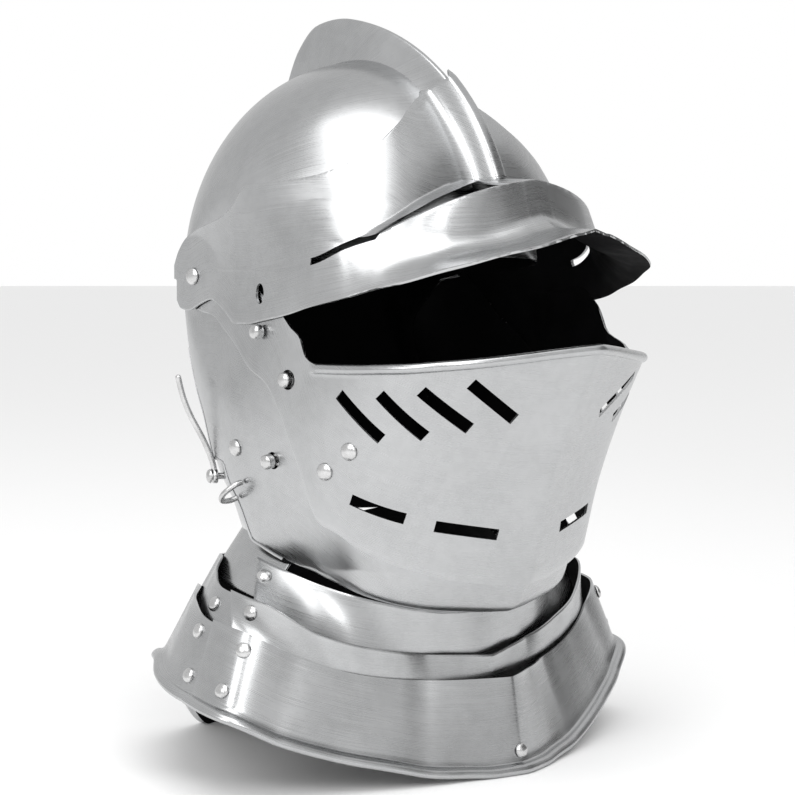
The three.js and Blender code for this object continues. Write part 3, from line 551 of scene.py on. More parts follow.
def skullHalf():
    # Above the pivot: rays from the bowl's centre, swung aside and tilted back, with the comb's ridge
    # added near the middle. Below it: plan angles from the nape to the cheek's edge, row by row
    aside = np.array([0, 0.7, 1.3, 1.8, 2.2, 2.6, 3.0, 3.5, 4.1, 5.0, 6.2, 7.8, 9.5])
    swing = np.concatenate([np.linspace(6.6, 30, 12), np.linspace(33, 86, 26)])
    tilt = np.radians(np.concatenate([np.linspace(skull["browAngle"], 70, 34), np.linspace(72, 180, 74)]))
    zero = np.zeros((len(aside), len(tilt)))
    ax = aside[:, None] + zero
    base = reach(skullRatio, ax, bowl["forward"], 0.0, 0.0, np.cos(tilt), np.sin(tilt))

    def combRatio(x, f, h):
        return np.hypot(f, h) / along(skull["combRadius"], np.arctan2(h, f) * degrees)

    crest = reach(combRatio, ax, bowl["forward"], 0.0, 0.0, np.cos(tilt), np.sin(tilt))
    lift = crest - base
    raised = base + 0.5 * (lift + np.sqrt(lift ** 2 + 1.0)) * along(skull["combShare"], ax)
    comb = place(ax, bowl["forward"] + np.cos(tilt) * raised, np.sin(tilt) * raised)
    turn = np.radians(swing)[:, None]
    dx = np.sin(turn) + np.zeros((1, len(tilt)))
    df = np.cos(turn) * np.cos(tilt)
    dh = np.cos(turn) * np.sin(tilt)
    out = reach(skullRatio, 0.0, bowl["forward"], 0.0, dx, df, dh)
    dome = place(dx * out, bowl["forward"] + df * out, dh * out)
    crown = np.concatenate([comb, dome])
    spread = np.concatenate([np.arcsin(aside / bowl["half"]) * degrees, swing])[:, None]
    heights = np.linspace(-3, skull["neckLow"], 56)[None, :]
    edge = along(cheekEdge, heights)
    angle = 180 - spread * (180 - edge) / swing[-1]
    tuck = skull["tuck"] * ease((along(bevorRearEdge, heights) + 2 - angle) / 8)
    neck = around(angle, planReach(skullRatio, angle, heights) - tuck, heights + 0 * angle)
    return np.concatenate([crown, neck], axis=1)


def makeSkull():
    mesh = cutAway(plateMesh("skullPlate", bothSides(skullHalf())), [])
    return finishObject("skullPlate", mesh, [plateSteel, insideShade], "skull", ["skull"])


makeSkull()
print("skull made")

# Visor
visor = {
    # plan angle, lower edge radius, lower edge height, peak top radius, peak top height, top edge height
    "edges": [
        [0, 170, 24, 130, 50, 111], [5, 169.6, 21, 130, 48.6, 98], [12, 168.7, 15.6, 130.5, 45.7, 93.4],
        [20, 167.4, 10.8, 131.2, 40.8, 86.5], [25, 166, 6.8, 131, 37, 80.5], [30, 159.8, 2.8, 130, 32, 75],
        [36, 153, -2.3, 127, 25.6, 67], [42, 146, -6.3, 128, 19.2, 60.5], [48, 140, -11, 130.4, 13, 56],
        [55, 129.5, -15, 126, 5.8, 52], [64, 116.5, -20, 116, 2.6, 49.5], [75, 110, -23.5, 110, 2, 48],
        [81, 110, -25, 110, 3, 47], [87, 110, -25, 110, 3, 38], [94, 110, -18, 110, 3, 31.5],
        [102, 110, -12.5, 110, 5, 28], [107, 110, -15, 110, 4, 25.5], [112, 110, -18.5, 110, 1, 21],
        [115.5, 110, -17.3, 110, -2, 13], [117, 110, -13, 110, -3, 6],
    ],
    "keelRadius": 150.2,  # crest of the brow's rib about the pivot axis
    "keelShare": [  # distance aside, share of the rib's height
        [0, 1], [2.2, 0.99], [3.6, 0.95], [5.2, 0.74], [6.6, 0.42], [8, 0.18], [9.2, 0.08], [13, 0],
    ],
    "keelBase": 9.2,
    "flare": [[0, 0, 0], [0.4, 0.13, 0.72], [0.66, 0.42, 0.97], [1, 1, 1]],  # place, outward, downward
    "hole": (74.5, -9, 3.7, 1.45),  # plan angle, height, radius, stretch
    "ledgeRise": 1.6,  # the step's top falls outwards by this much
    "stepFade": (55, 13),  # plan angle where the step starts to fade, and over how many degrees
    "flareFade": (14, 34),
}


def visorColumns(angle, beside):
    # Rows from the peak's lower edge up its flare to the top of the step, in along the ledge,
    # and up the brow
    angle = angle[:, None]
    value = [along(visor["edges"], angle, k) for k in range(6)]
    lowRadius, lowHeight, peakRadius, peakHeight, topHeight = value[1:]
    stepFrom, stepOver = visor["stepFade"]
    flareFrom, flareOver = visor["flareFade"]
    stepped = 1 - ease((angle - stepFrom) / stepOver)
    hollow = 1 - ease((angle - flareFrom) / flareOver)
    q = np.linspace(1, 0, 22)[None, :]
    outward = mix(q, along(visor["flare"], q, 1), hollow)
    downward = mix(q, along(visor["flare"], q, 2), hollow)
    h = mix(peakHeight, lowHeight, downward)
    onWall = planReach(browRatio, angle, h)
    topRadius = mix(planReach(browRatio, angle, peakHeight), peakRadius, stepped)
    rimRadius = mix(planReach(browRatio, angle, lowHeight), lowRadius, stepped)
    peak = around(angle, mix(onWall, mix(topRadius, rimRadius, outward), stepped), h)
    ledgeHeight = peakHeight + visor["ledgeRise"]
    w = np.array([0.1, 0.3, 0.5, 0.7, 0.9])[None, :]
    ledgeEnd = planReach(browRatio, angle, ledgeHeight)
    ledgeRadius = mix(ledgeEnd, topRadius, stepped * (1 - w))
    ledge = around(angle, ledgeRadius, mix(peakHeight, ledgeHeight, np.sin(w * np.pi / 2)))
    s = np.linspace(0, 1, 34)[None, :] ** 1.1
    turn = np.radians(angle)
    aside = beside * np.cos(turn)
    browHeight = mix(ledgeHeight, topHeight, s)
    out = reach(browRatio, aside, bowl["forward"], browHeight, np.sin(turn), np.cos(turn), 0.0)
    plate = place(aside + np.sin(turn) * out, bowl["forward"] + np.cos(turn) * out, browHeight)
    shift = ease((w - 0.2) / 0.8)[..., None]
    ledge = mix(ledge, plate[:, :1], shift)
    return np.concatenate([peak, ledge, plate], axis=1)


def visorHalf():
    # Near the middle the brow rises into a rib: its columns keep their distance aside
    aside = np.array([0, 1.1, 2.2, 3.0, 3.8, 4.6, 5.4, 6.2, 7.2, 8.2, 9.2])
    angle = np.concatenate([np.linspace(4.2, 78, 130), np.linspace(79, 117, 66)])
    middle = visorColumns(np.zeros(len(aside)), 0.0)
    browStart = 27
    across = aside[:, None]
    low = visorColumns(np.arctan2(aside, 140) * degrees, 0.0)
    middle[:, :browStart] = low[:, :browStart]
    middle[:, :browStart, 0] = across
    s = np.linspace(0, 1, middle.shape[1] - browStart)[None, :]
    h = middle[:, browStart:, 2] - helmet["pivotHeight"] - 1.2 * across * (1 + 5 * s) / 6
    base = reach(browRatio, across + 0 * h, 0.0, h, 0.0, 1.0, 0.0)
    crest = np.sqrt(visor["keelRadius"] ** 2 - h ** 2)
    forward = base + (crest - base) * along(visor["keelShare"], across)
    middle[:, browStart:] = place(across + 0 * h, forward, h)
    return np.concatenate([middle, visorColumns(angle, visor["keelBase"])])


def sightCutter(side):
    # A bent bar that follows the ledge behind the peak and cuts one sight
    angle = np.linspace(8, 56, 40)
    peakHeight = along(visor["edges"], angle, 4)
    wall = planReach(browRatio, angle, peakHeight)
    upright = ease((angle - 33) / 16)
    near = mix(wall + 3, wall - 5, upright)
    far = mix(along(visor["edges"], angle, 3) - 2.5, wall + 7, upright)
    low = mix(peakHeight - 4, peakHeight + 0.3, upright)
    high = peakHeight + mix(2.2, 3.9, ease((angle - 33) / 20))
    order = slice(None, None, -1) if side < 0 else slice(None)
    turn = side * angle[order, None]
    heights = np.stack([low, high], axis=1)[order]
    outside = around(turn, far[order, None], heights)
    return shellMesh("sight", outside, around(turn, near[order, None], heights))


def drillMesh(ratio, angle, h, radius, stretch=1.0):
    # A short cylinder through a plate, square to it
    point = onPlate(ratio, np.array(angle), np.array(h))
    mesh = latheMesh("drill", [[0, -8], [radius, -8], [radius, 8], [0, 8]], [0, 0, 0], [0, 0, 1], 32)
    mesh.transform(Matrix.Diagonal((1, stretch, 1, 1)))
    direction = Vector(normalOf(ratio, point))
    flat = Vector((direction.y, -direction.x, 0)).normalized()
    upward = direction.cross(flat)
    turn = Matrix((flat, upward, direction)).transposed().to_4x4()
    mesh.transform(Matrix.Translation(Vector(point) / 1000) @ turn)
    return mesh


def makeVisor():
    cutters = [sightCutter(-1), sightCutter(1)]
    angle, h, radius, stretch = visor["hole"]
    cutters.append(drillMesh(browRatio, -angle, h, radius, stretch))
    mesh = cutAway(plateMesh("visorPlate", bothSides(visorHalf())), cutters)
    return finishObject("visorPlate", mesh, [plateSteel, insideShade], "visor", ["visor"])


makeVisor()
print("visor made")

# Ventail
ventail = {
    # plan angle, top edge height on the right, on the left, lower edge height
    "edges": [
        [0, -34, -34, -161], [8, -36, -36, -160.5], [15, -38, -38, -158.5], [23, -40, -40, -155.5],
        [30, -41.5, -41.5, -151], [37, -43, -42, -146], [41, -43.4, -34, -142], [45, -43.8, -16, -138],
        [50, -44, -6, -131], [55.5, -44, -8, -125], [58, -41, -9, -114], [60, -31, -9, -101],
        [63, -26, -9, -87], [66, -20, -8, -73], [72, -12, -6, -56], [80, -4, -3, -48], [88, 6, 6, -36],
        [95, 12, 12, -28], [102, 15, 15, -21], [108, 14, 14, -19], [113, 8, 8, -16],
    ],
    # plan angle and height of both ends of each slot, and its width
    "breaths": [
        [49, -59, 40, -81, 6.5], [40.5, -58.5, 31.5, -79.5, 6.5], [33, -56.5, 22.5, -76, 6.5],
        [24, -53, 13, -72, 6.5], [46.5, -112.5, 34.5, -122, 6], [27.5, -126.5, 11, -133, 6],
    ],
}
fittings = {  # plan angle and height of the small fittings on the wearer's right
    "studA": (74.4, -29), "studB": (63.7, -53), "studC": (71.4, -96),
    "rivetD": (88.5, -91), "rivetE": (46.8, -88), "rivetF": (52.8, -99), "hookPin": (108.5, -109),
}
bores = {"shank": 2.6, "studB": 5.2, "studC": 4.6}  # radius of the holes that the studs pass


def ventailSide(side):
    # Rows up the plate to just under the top edge, then half a circle for the rolled rim
    spans = [np.linspace(0, 54, 84), np.linspace(54.4, 67, 44), np.linspace(67.6, 113, 60)]
    angle = np.concatenate(spans)[:, None]
    top = along(ventail["edges"], angle, 1 if side < 0 else 2)
    low = along(ventail["edges"], angle, 3)
    fadeFrom = 53 if side < 0 else 37
    roll = helmet["rimRoll"]
    size = roll * (1 - ease((angle - fadeFrom) / 4))
    start = top - 2 * roll
    rows = np.linspace(0, 1, 44)[None, :]
    heights = mix(low, start, rows)
    wall = onPlate(ventailRatio, side * angle, heights)
    lip = wall[:, -1:]
    out = normalOf(ventailRatio, lip)
    out[..., 2] = 0
    out = unit(out)
    bend = np.linspace(-np.pi / 2, np.pi / 2, 13)[1:]
    rise = (1 + np.sin(bend))[None, :, None] * roll * np.array([0, 0, 1.0])
    rim = lip + out * (size * 1.05 * np.cos(bend)[None, :])[..., None] + rise
    inner = np.concatenate([wall, lip + rise * np.ones_like(rim)], axis=1)
    return np.concatenate([wall, rim], axis=1), inner


def slotCutter(ratio, side, slot):
    # A straight bar with square ends, lying on the plate from one end of the slot to the other
    a1, h1, a2, h2, width = slot
    start = onPlate(ratio, np.array(side * a1), np.array(h1))
    end = onPlate(ratio, np.array(side * a2), np.array(h2))
    middle = (start + end) / 2
    out = normalOf(ratio, middle)
    length = np.linalg.norm(end - start)
    lengthwise = (end - start) / length
    depth = unit(out - lengthwise * np.dot(out, lengthwise))
    aside = np.cross(depth, lengthwise)
    corner = np.array([[-1, -1], [1, -1]])[:, None, :] + np.array([[0, 0], [0, 2]])[None, :, :]
    flat = middle + corner[..., :1] * lengthwise * length / 2 + corner[..., 1:] * aside * width / 2
    return shellMesh("slot", flat + depth * 7, flat - depth * 7)


def makeVentail():
    right, rightInner = ventailSide(-1)
    left, leftInner = ventailSide(1)
    outer = np.concatenate([right[::-1][:-1], left])
    behind = np.concatenate([rightInner[::-1][:-1], leftInner])
    inner = behind - gridNormals(behind) * helmet["sheet"]
    cutters = [slotCutter(ventailRatio, side, slot) for side in (-1, 1) for slot in ventail["breaths"]]
    for key, radius in (("studA", bores["shank"]), ("studB", bores["studB"])):
        cutters.append(drillMesh(ventailRatio, -fittings[key][0], fittings[key][1], radius))
    mesh = cutAway(shellMesh("ventailPlate", outer, inner), cutters)
    steels = [plateSteel, insideShade]
    return finishObject("ventailPlate", mesh, steels, "ventail", ["ventail"])


makeVentail()
print("ventail made")

# Bevor
bevor = {
    # plan angle, top edge height, lower edge height
    "edges": [
        [0, -141, -176], [7, -141, -175.5], [16, -141, -174], [25, -140, -172], [33, -140, -169],
        [41, -139, -165], [46, -134, -162], [49, -118, -160], [52, -84, -158], [56, -68, -156],
        [61, -54, -153], [66, -44, -151], [72, -33, -148], [78, -24, -145], [84, -12, -142],
        [90, -2, -139.5], [94, 4, -122], [97, 8, -111], [98.5, 10, -99], [104, 14, -97.5],
        [109.5, 14, -97], [114, 11, -74], [118, 2, -54], [121.5, -8, -38],
    ],
    "neckRing": [  # plan angle, radius under the chin
        [0, 88], [25, 87], [41, 88], [56, 88.5], [72, 88], [90, 84],
    ],
    "flangeDrop": 1.1,  # the turned-in flange lies this far under the lower edge
    "chinRound": 5.0,  # rounding where the plate turns in under the chin
}


def bevorHalf():
    # Up from the neck ring under the chin, round the corner and up the plate
    spans = [np.linspace(0, 44, 50), np.linspace(44.6, 62, 36), np.linspace(62.8, 121.5, 84)]
    angle = np.concatenate(spans)[:, None]
    top = along(bevor["edges"], angle, 1)
    low = along(bevor["edges"], angle, 2)
    chin = 1 - ease((angle - 66) / 24)
    edge = planReach(bevorRatio, angle, low)
    tucked = np.minimum(edge, mix(edge, along(bevor["neckRing"], angle), chin))
    rounding = np.minimum(bevor["chinRound"] * chin, 0.6 * (edge - tucked)) + 1e-3
    w = np.linspace(0, 1, 9)[None, :]
    foot = low - bevor["flangeDrop"]
    flange = around(angle, mix(tucked, edge - rounding, w), foot + 0 * w)
    bend = np.linspace(0, np.pi / 2, 8)[None, 1:]
    cornerHeight = foot + rounding * (1 - np.cos(bend))
    cornerInset = rounding * (1 - np.sin(bend))
    corner = around(angle, planReach(bevorRatio, angle, cornerHeight) - cornerInset, cornerHeight)
    rows = np.linspace(0, 1, 42)[None, 1:]
    heights = mix(foot + rounding, top, rows)
    wall = onPlate(bevorRatio, angle, heights)
    return np.concatenate([flange, corner, wall], axis=1)


def makeBevor():
    cutters = [
        drillMesh(bevorRatio, -fittings["studB"][0], fittings["studB"][1], bores["shank"]),
        drillMesh(bevorRatio, -fittings["studC"][0], fittings["studC"][1], bores["studC"]),
    ]
    mesh = cutAway(plateMesh("bevorPlate", bothSides(bevorHalf())), cutters)
    return finishObject("bevorPlate", mesh, [plateSteel, insideShade], "bevor", ["bevor"])


makeBevor()
print("bevor made")

# Gorget: each lame runs between two rings about gorgetForward; ring rows are plan angle,
# radius and height above the ground
gorgetForward = 50.0
gorget = {
    "front_1": {
        "top": [[0, 75.5, 83.8], [15, 76, 84.2], [30, 80, 87], [45, 87, 92.5], [60, 93, 99.5], [75, 96, 108],
                [87, 97, 114.5]],
        "low": [[0, 77, 54], [15, 76.5, 55], [29, 80, 57], [42, 88, 60], [52, 98, 65], [61, 110.5, 73],
                [69, 122, 82], [76, 126, 91]],
    },
    "front_2": {
        "top": [[0, 84.7, 60], [15, 82.2, 62], [27, 83.2, 63.5], [38, 90, 66.5], [48, 98.5, 70.5],
                [60, 115, 79], [72, 129, 96], [85, 120.5, 100]],
        "low": [[0, 86, 40], [15, 84.5, 41], [29, 87, 42], [39, 92.5, 44], [51, 103, 49], [61, 118.5, 57],
                [69, 131, 67], [78, 139, 77]],
    },
    "front_3": {
        "top": [[0, 98.8, 50], [15, 92.8, 50.5], [29, 91.4, 51.5], [39, 96, 53.5], [51, 106.5, 58],
                [64, 124.3, 69], [74, 141.2, 83], [83, 138.2, 87]],
        "low": [[0, 107, 0], [10, 104.5, 0], [18, 103.6, 1.2], [31, 107, 4], [43, 114.5, 10],
                [55, 126.5, 17], [66, 145, 28], [74, 160, 41], [84, 153, 46]],
        "rolled": True,
    },
    "rear_1": {
        "top": [[80, 75, 118], [95, 74, 122], [107, 74.4, 126], [120, 75.7, 127], [133, 75.5, 125],
                [150, 74, 121], [180, 73, 116]],
        "low": [[80, 103, 93], [100, 99, 97], [120, 95, 98], [133, 94, 96], [150, 90, 90], [180, 86, 83]],
    },
    "rear_2": {
        "top": [[79.5, 119, 96], [90, 116, 99], [103, 104, 104], [120, 91, 109], [133, 90, 107],
                [150, 86, 104], [180, 84, 96]],
        "low": [[81, 133, 72], [92, 127, 77], [104, 113.5, 85], [120, 104, 87], [133, 103, 83],
                [150, 99, 74], [180, 96, 62]],
    },
    "rear_3": {
        "top": [[80, 137.4, 83], [90, 129.8, 86], [101, 119, 91], [120, 103.5, 93], [133, 102.3, 89],
                [150, 99.5, 80], [180, 97.5, 68]],
        "low": [[82, 148, 41], [90, 146, 45], [101, 138, 51], [111, 129, 55], [125, 124, 52], [140, 119, 38],
                [160, 112, 0], [180, 110, 0]],
        "rolled": True,
    },
}


def ringPoint(ring, t, side):
    angle = mix(ring[0][0], ring[-1][0], t)
    height = along(ring, angle, 2) - helmet["pivotHeight"]
    return around(side * angle, along(ring, angle, 1), height, gorgetForward)


def lamePoint(lame, t, share, side):
    # Straight from the lower ring to the upper one, each ring run over its own angles
    return mix(ringPoint(lame["low"], t, side), ringPoint(lame["top"], t, side), share)


def lameGrid(lame, name):
    # Front lames run from right over the front to left, rear lames from left over the back to
    # right; a rolled lame starts with a bit over half a circle for the rolled rim
    t = np.linspace(0, 1, 110)
    rows = np.linspace(0, 1, 18)[None, :, None]
    halves = []
    for side in (1, -1):
        low = ringPoint(lame["low"], t, side)[:, None, :]
        top = ringPoint(lame["top"], t, side)[:, None, :]
        halves.append(mix(low, top, rows))
    left, right = halves
    if name.startswith("front"):
        grid = np.concatenate([right[::-1][:-1], left])
        fade = np.ones(len(grid))
    else:
        grid = np.concatenate([left, right[::-1][1:]])
        fromEnd = np.minimum(np.arange(len(grid)), np.arange(len(grid))[::-1]) / 20
        fade = mix(0.15, 1, ease(fromEnd))
    if not lame.get("rolled"):
        return grid, None
    roll = helmet["rimRoll"]
    base = grid[:, :1]
    tangent = np.gradient(grid[:, 0], axis=0)
    tangent[:, 2] = 0
    out = unit(np.cross(tangent, [0, 0, 1.0]))[:, None]
    up = unit(grid[:, 1:2] - base)
    bend = np.linspace(-np.pi / 2, np.pi * 0.56, 16)
    outward = np.concatenate([[0, 0.5], 0.97 + np.cos(bend), [0.32, 0.08]])[None, :, None] * roll
    rise = np.concatenate([[0, 0], 1 + np.sin(bend), [2.06, 2.3]])[None, :, None] * roll
    rim = base + out * outward * fade[:, None, None] + up * rise
    rim[:, :3, 2] = base[:, :, 2]
    wall = mix(base + up * rise[:, -1:], grid[:, -1:], np.linspace(0, 1, 16)[None, 1:, None])
    outer = np.concatenate([rim, wall], axis=1)
    behind = np.concatenate([base + up * rise, wall], axis=1)
    normals = gridNormals(mix(base, grid[:, -1:], np.linspace(0, 1, outer.shape[1])[None, :, None]))
    inner = behind - normals * helmet["sheet"]
    inner[:, :3, 2] = base[:, :, 2]
    return outer, inner


def makeGorget():
    for name, lame in gorget.items():
        outer, inner = lameGrid(lame, name)
        title = "lame_" + name
        mesh = plateMesh(title, outer) if inner is None else shellMesh(title, outer, inner)
        body = "bevor" if name.startswith("front") else "skull"
        steels = [plateSteel, insideShade]
        finishObject(title, cutAway(mesh, []), steels, body, ["gorget_" + name])


makeGorget()
print("gorget made")

# Rivets, studs, pivots, hook and staple
small = {
    "lameRivets": {  # lame, place along it, place up it
        "rivet_front_1": ("front_1", 0.965, 0.72), "rivet_front_2": ("front_2", 0.915, 0.73),
        "rivet_front_3": ("front_3", 0.88, 0.81), "rivet_front_4": ("front_3", 0.905, 0.3),
        "rivet_rear_2": ("rear_2", 0.11, 0.63), "rivet_rear_3": ("rear_3", 0.095, 0.82),
        "rivet_rear_4": ("rear_3", 0.075, 0.3),
    },
    "lameHead": 4.1,  # radius of each kind of head, and its height
    "lameDome": 2.6,
    "plateHead": 4.6,
    "plateDome": 2.8,
    "pinHead": 4.7,
    "pinDome": 2.7,
    "pinShank": 2.4,
    "pinFoot": 1.6,
    "hookRod": 1.6,
    "stapleRod": 1.5,
    "studProfile": [  # radius, height from the plate
        [0, -3.6], [3.4, -3.6], [3.4, -2.6], [2.1, -2.4], [2.1, 0.6], [3.4, 0.9], [3.8, 1.3], [3.9, 2.2],
        [3.9, 4.6], [3.8, 5.3], [3.3, 6.0], [2.4, 6.55], [1.2, 6.9], [0, 7.0],
    ],
    "eyeProfile": [[2.3, -1.3], [3.7, -1.3], [4.0, -0.9], [4.0, 0.9], [3.7, 1.3], [2.3, 1.3], [2.3, -1.3]],
    "hookPinProfile": [
        [0, -8.6], [3.6, -8.6], [3.6, -7.2], [1.8, -7.2], [1.8, 5], [3.9, 5], [3.9, 5.5], [3.4, 6.4],
        [2.2, 7.1], [1.0, 7.3], [0, 7.3],
    ],
    "hookPath": [  # out from the seat, backward, up
        [2.6, 0, 0], [4, 0, 8], [9, 1, 20], [16, 2, 33], [20.5, 3, 44], [23.5, 3.5, 56],
    ],
    "staplePath": [  # plan angle, height, out from the plate
        [86.5, -109, 0.3], [86.7, -109.3, 6], [88.5, -112, 11.5], [90.8, -115.5, 11.5], [92.6, -118, 6],
        [92.8, -118.3, 0.3],
    ],
}


def domeProfile(radius, height, foot=0.0):
    # A flat underside, a short upright edge and a quarter ellipse over it
    bend = np.linspace(0.0, np.pi / 2, 11)
    rim = [[0, foot], [radius * 0.97, foot]]
    return rim + [[radius * math.cos(a), foot + height * (0.12 + 0.88 * math.sin(a))] for a in bend]


def makeFitting(node, mesh, body):
    return finishObject(node + "_fitting", mesh, [fittingSteel], body, [node], sharp=50)


def makeLameRivets():
    for node, (lameName, t, share) in small["lameRivets"].items():
        for side, word in ((-1, "right"), (1, "left")):
            lame = gorget[lameName]
            point = lamePoint(lame, np.array(t), share, side)
            before = lamePoint(lame, np.array(t - 0.01), share, side)
            step = lamePoint(lame, np.array(t + 0.01), share, side) - before
            up = lamePoint(lame, np.array(t), 1, side) - lamePoint(lame, np.array(t), 0, side)
            out = unit(np.cross(step, up))
            centre = np.array([0, helmet["centreForward"] - gorgetForward, point[2]])
            out = out if np.dot(out, point - centre) > 0 else -out
            mesh = latheMesh(node, domeProfile(small["lameHead"], small["lameDome"]), point, out)
            makeFitting(f"{node}_{word}", mesh, "bevor" if lameName.startswith("front") else "skull")
    lame = gorget["front_3"]
    point = lamePoint(lame, np.array(0.0), 0.23, -1)
    up = lamePoint(lame, np.array(0.0), 1, -1) - lamePoint(lame, np.array(0.0), 0, -1)
    out = unit(np.cross([1, 0, 0], up))
    mesh = latheMesh("rivet_front_middle", domeProfile(small["lameHead"], small["lameDome"]), point, out)
    makeFitting("rivet_front_middle", mesh, "bevor")


def plateFitting(ratio, key):
    angle, h = fittings[key]
    point = onPlate(ratio, np.array(-angle), np.array(h))
    return point, normalOf(ratio, point)


def makeStuds():
    # A foot behind the plate, a thin shank and a tall rounded head
    for node, ratio, key, body in (("catch_visor", ventailRatio, "studA", "ventail"),
                                   ("catch_ventail", bevorRatio, "studB", "bevor"),
                                   ("catch_bevor", bevorRatio, "studC", "bevor")):
        point, out = plateFitting(ratio, key)
        makeFitting(node, latheMesh(node, small["studProfile"], point, out), body)
    for node, ratio, key, body in (("rivet_bevor", bevorRatio, "rivetD", "bevor"),
                                   ("rivet_ventail", ventailRatio, "rivetE", "ventail"),
                                   ("rivet_ventail_low", ventailRatio, "rivetF", "ventail")):
        point, out = plateFitting(ratio, key)
        dome = domeProfile(small["plateHead"], small["plateDome"], 0.1)
        makeFitting(node, latheMesh(node, dome, point, out), body)


def makePivots():
    for side, word in ((-1, "right"), (1, "left")):
        radius = small["pinHead"]
        outside = pivotHalf["visor"] + 0.3
        inside = pivotHalf["skull"] - helmet["sheet"] - 2
        head = [[r, y + outside] for r, y in domeProfile(radius, small["pinDome"])]
        shank = small["pinShank"]
        under = inside - small["pinFoot"]
        foot = [[0, under], [radius - 0.4, under], [radius - 0.4, inside], [shank, inside], [shank, outside]]
        point = place(0.0, 0.0, 0.0)
        makeFitting("pivot_" + word, latheMesh("pivot", foot + head[1:], point, [side, 0, 0]), "skull")


def makeHook():
    angle, h = fittings["hookPin"]
    seat = onPlate(bevorRatio, np.array(-angle), np.array(h))
    out = normalOf(bevorRatio, seat)
    out[2] = 0
    out = unit(out)
    back = unit(np.cross([0, 0, 1.0], out))
    path = np.array(small["hookPath"])
    points = seat + path[:, :1] * out + path[:, 1:2] * back + path[:, 2:] * np.array([0, 0, 1.0])
    rod = tubeMesh("hook", points, small["hookRod"])
    eye = latheMesh("eye", small["eyeProfile"], points[0], out)
    work = bmesh.new()
    work.from_mesh(rod)
    work.from_mesh(eye)
    work.to_mesh(rod)
    work.free()
    bpy.data.meshes.remove(eye)
    makeFitting("hook", rod, "hook")
    makeFitting("hook_pin", latheMesh("hook_pin", small["hookPinProfile"], seat, out), "skull")
    staple = np.array(small["staplePath"])
    foot = onPlate(bevorRatio, -staple[:, 0], staple[:, 1])
    arch = foot + normalOf(bevorRatio, foot) * staple[:, 2:]
    makeFitting("staple", tubeMesh("staple", arch, small["stapleRod"]), "bevor")


makeLameRivets()
makeStuds()
makePivots()
makeHook()
print("fittings made")

# Floor, light and camera
studio = {
    "floor": (0.84, 0.84, 0.84),
    "floorHalf": 60.0,  # metres from the middle to the floor's edge
    "card": ((0.13, 0.13, 0.13), (0.16, 0.16, 0.16)),
    "world": 0.76,  # brightness that the steel mirrors
    "backdrop": 1.0,  # brightness that the camera sees behind the helmet, and that lights the floor
    "softboxes": [  # name, place, aim, width, height, watts
        ("keyBox", (-2.2, -0.6, 1.5), (0, 0, 0.25), 1.2, 1.2, 16),
        ("topBox", (-0.5, -0.6, 2.0), (0, 0, 0.25), 1.6, 1.4, 18),
        ("frontBox", (-0.95, -2.0, 1.45), (0, 0, 0.2), 0.9, 0.8, 11),
    ],
    "azimuth": 43.0,  # camera round the helmet, to the wearer's right of the front
    "distance": 1207.5,
    "cameraHeight": 262.3,
    "focalPixels": 2100.0,
    "imageSize": 795.0,
    "axisColumn": 320.0,  # image column of the helmet's pivot vertical
    "horizonRow": 275.0,
}


def makeFloor():
    mesh = bpy.data.meshes.new("floor")
    corners = np.array([[-1, -1, 0], [1, -1, 0], [1, 1, 0], [-1, 1, 0]]) * studio["floorHalf"]
    mesh.from_pydata(corners, [], [(0, 1, 2, 3)])
    material, tree, shader = nodeMaterial("floorPaper")
    coordinates = tree.nodes.new("ShaderNodeTexCoord")
    grain = noiseAt(tree, coordinates.outputs["Object"], 40, 3)
    dark = tuple(c * 0.99 for c in studio["floor"])
    tree.links.new(colourBetween(tree, grain, dark, studio["floor"]), shader.inputs["Base Color"])
    shader.inputs["Roughness"].default_value = 0.9
    shader.inputs["Specular IOR Level"].default_value = 0.1
    mesh.materials.append(material)
    floor = bpy.data.objects.new("floor", mesh)
    bpy.context.scene.collection.objects.link(floor)


def makeGreyCard():
    # A grey card on the far side, out of the camera's sight, that the far half of the helmet mirrors
    mesh = bpy.data.meshes.new("greyCard")
    corners = np.array([[0.7, -1.9, 0.0], [2.3, -0.3, 0.0], [2.3, -0.3, 1.9], [0.7, -1.9, 1.9]])
    mesh.from_pydata(corners, [], [(0, 3, 2, 1)])
    material, tree, shader = nodeMaterial("greyFelt")
    coordinates = tree.nodes.new("ShaderNodeTexCoord")
    felt = noiseAt(tree, coordinates.outputs["Object"], 300, 2)
    tree.links.new(colourBetween(tree, felt, *studio["card"]), shader.inputs["Base Color"])
    shader.inputs["Roughness"].default_value = 0.95
    mesh.materials.append(material)
    card = bpy.data.objects.new("greyCard", mesh)
    bpy.context.scene.collection.objects.link(card)
    card.visible_camera = False
    card.visible_shadow = False


def softbox(name, position, target, width, height, power):
    light = bpy.data.lights.new(name, "AREA")
    light.shape = "RECTANGLE"
    light.size = width
    light.size_y = height
    light.energy = power
    lamp = bpy.data.objects.new(name, light)
    bpy.context.scene.collection.objects.link(lamp)
    lamp.location = position
    lamp.rotation_euler = (Vector(target) - Vector(position)).to_track_quat("-Z", "Y").to_euler()


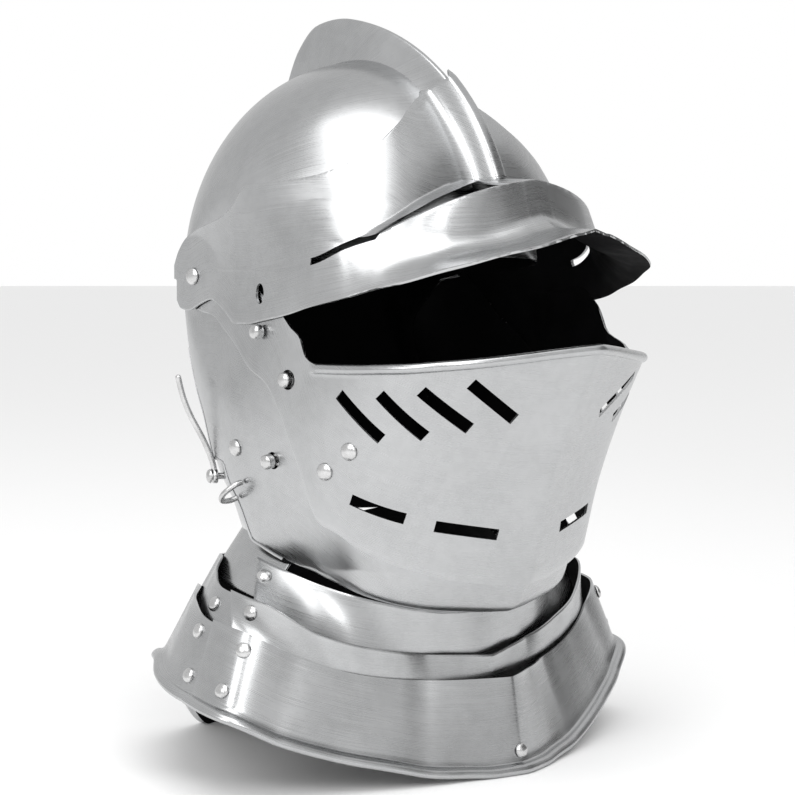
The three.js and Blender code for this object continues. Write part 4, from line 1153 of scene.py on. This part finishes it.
def makeStudio():
    world = bpy.data.worlds.new("studio")
    world.use_nodes = True
    background = world.node_tree.nodes["Background"]
    background.inputs["Color"].default_value = (1, 1, 1, 1)
    background.inputs["Strength"].default_value = studio["world"]
    backdrop = world.node_tree.nodes.new("ShaderNodeBackground")
    backdrop.inputs["Strength"].default_value = studio["backdrop"]
    backdrop.inputs["Color"].default_value = (1, 1, 1, 1)
    seen = world.node_tree.nodes.new("ShaderNodeLightPath")
    links = world.node_tree.links
    either = world.node_tree.nodes.new("ShaderNodeMixShader")
    plain = world.node_tree.nodes.new("ShaderNodeMath")
    plain.operation = "MAXIMUM"
    links.new(seen.outputs["Is Camera Ray"], plain.inputs[0])
    links.new(seen.outputs["Is Diffuse Ray"], plain.inputs[1])
    links.new(plain.outputs[0], either.inputs[0])
    links.new(background.outputs[0], either.inputs[1])
    links.new(backdrop.outputs[0], either.inputs[2])
    links.new(either.outputs[0], world.node_tree.nodes["World Output"].inputs["Surface"])
    bpy.context.scene.world = world
    for box in studio["softboxes"]:
        softbox(*box)
    bpy.context.scene.view_settings.view_transform = "Standard"


def makeCamera():
    # The axis of view starts level at the helmet's pivot vertical, then turns so that this vertical falls on
    # its column and the horizon on its row
    turn = math.radians(studio["azimuth"])
    forward = Vector((math.sin(turn), math.cos(turn), 0))
    aside = Vector((math.cos(turn), -math.sin(turn), 0))
    centre = studio["imageSize"] / 2
    yaw = math.atan((studio["axisColumn"] - centre) / studio["focalPixels"])
    pitch = math.atan((centre - studio["horizonRow"]) / studio["focalPixels"])
    level = forward * math.cos(yaw) - aside * math.sin(yaw)
    right = aside * math.cos(yaw) + forward * math.sin(yaw)
    view = level * math.cos(pitch) - Vector((0, 0, 1)) * math.sin(pitch)
    up = Vector((0, 0, 1)) * math.cos(pitch) + level * math.sin(pitch)
    data = bpy.data.cameras.new("camera")
    data.sensor_width = 36
    data.lens = 36 * studio["focalPixels"] / studio["imageSize"]
    data.clip_start = 0.05
    data.clip_end = 50
    camera = bpy.data.objects.new("camera", data)
    bpy.context.scene.collection.objects.link(camera)
    position = -forward * studio["distance"] / 1000
    position.y += helmet["centreForward"] / 1000
    position.z = studio["cameraHeight"] / 1000
    turnMatrix = Matrix((right, up, -view)).transposed().to_4x4()
    camera.matrix_world = Matrix.Translation(position) @ turnMatrix
    bpy.context.scene.camera = camera


makeFloor()
makeGreyCard()
makeStudio()
makeCamera()
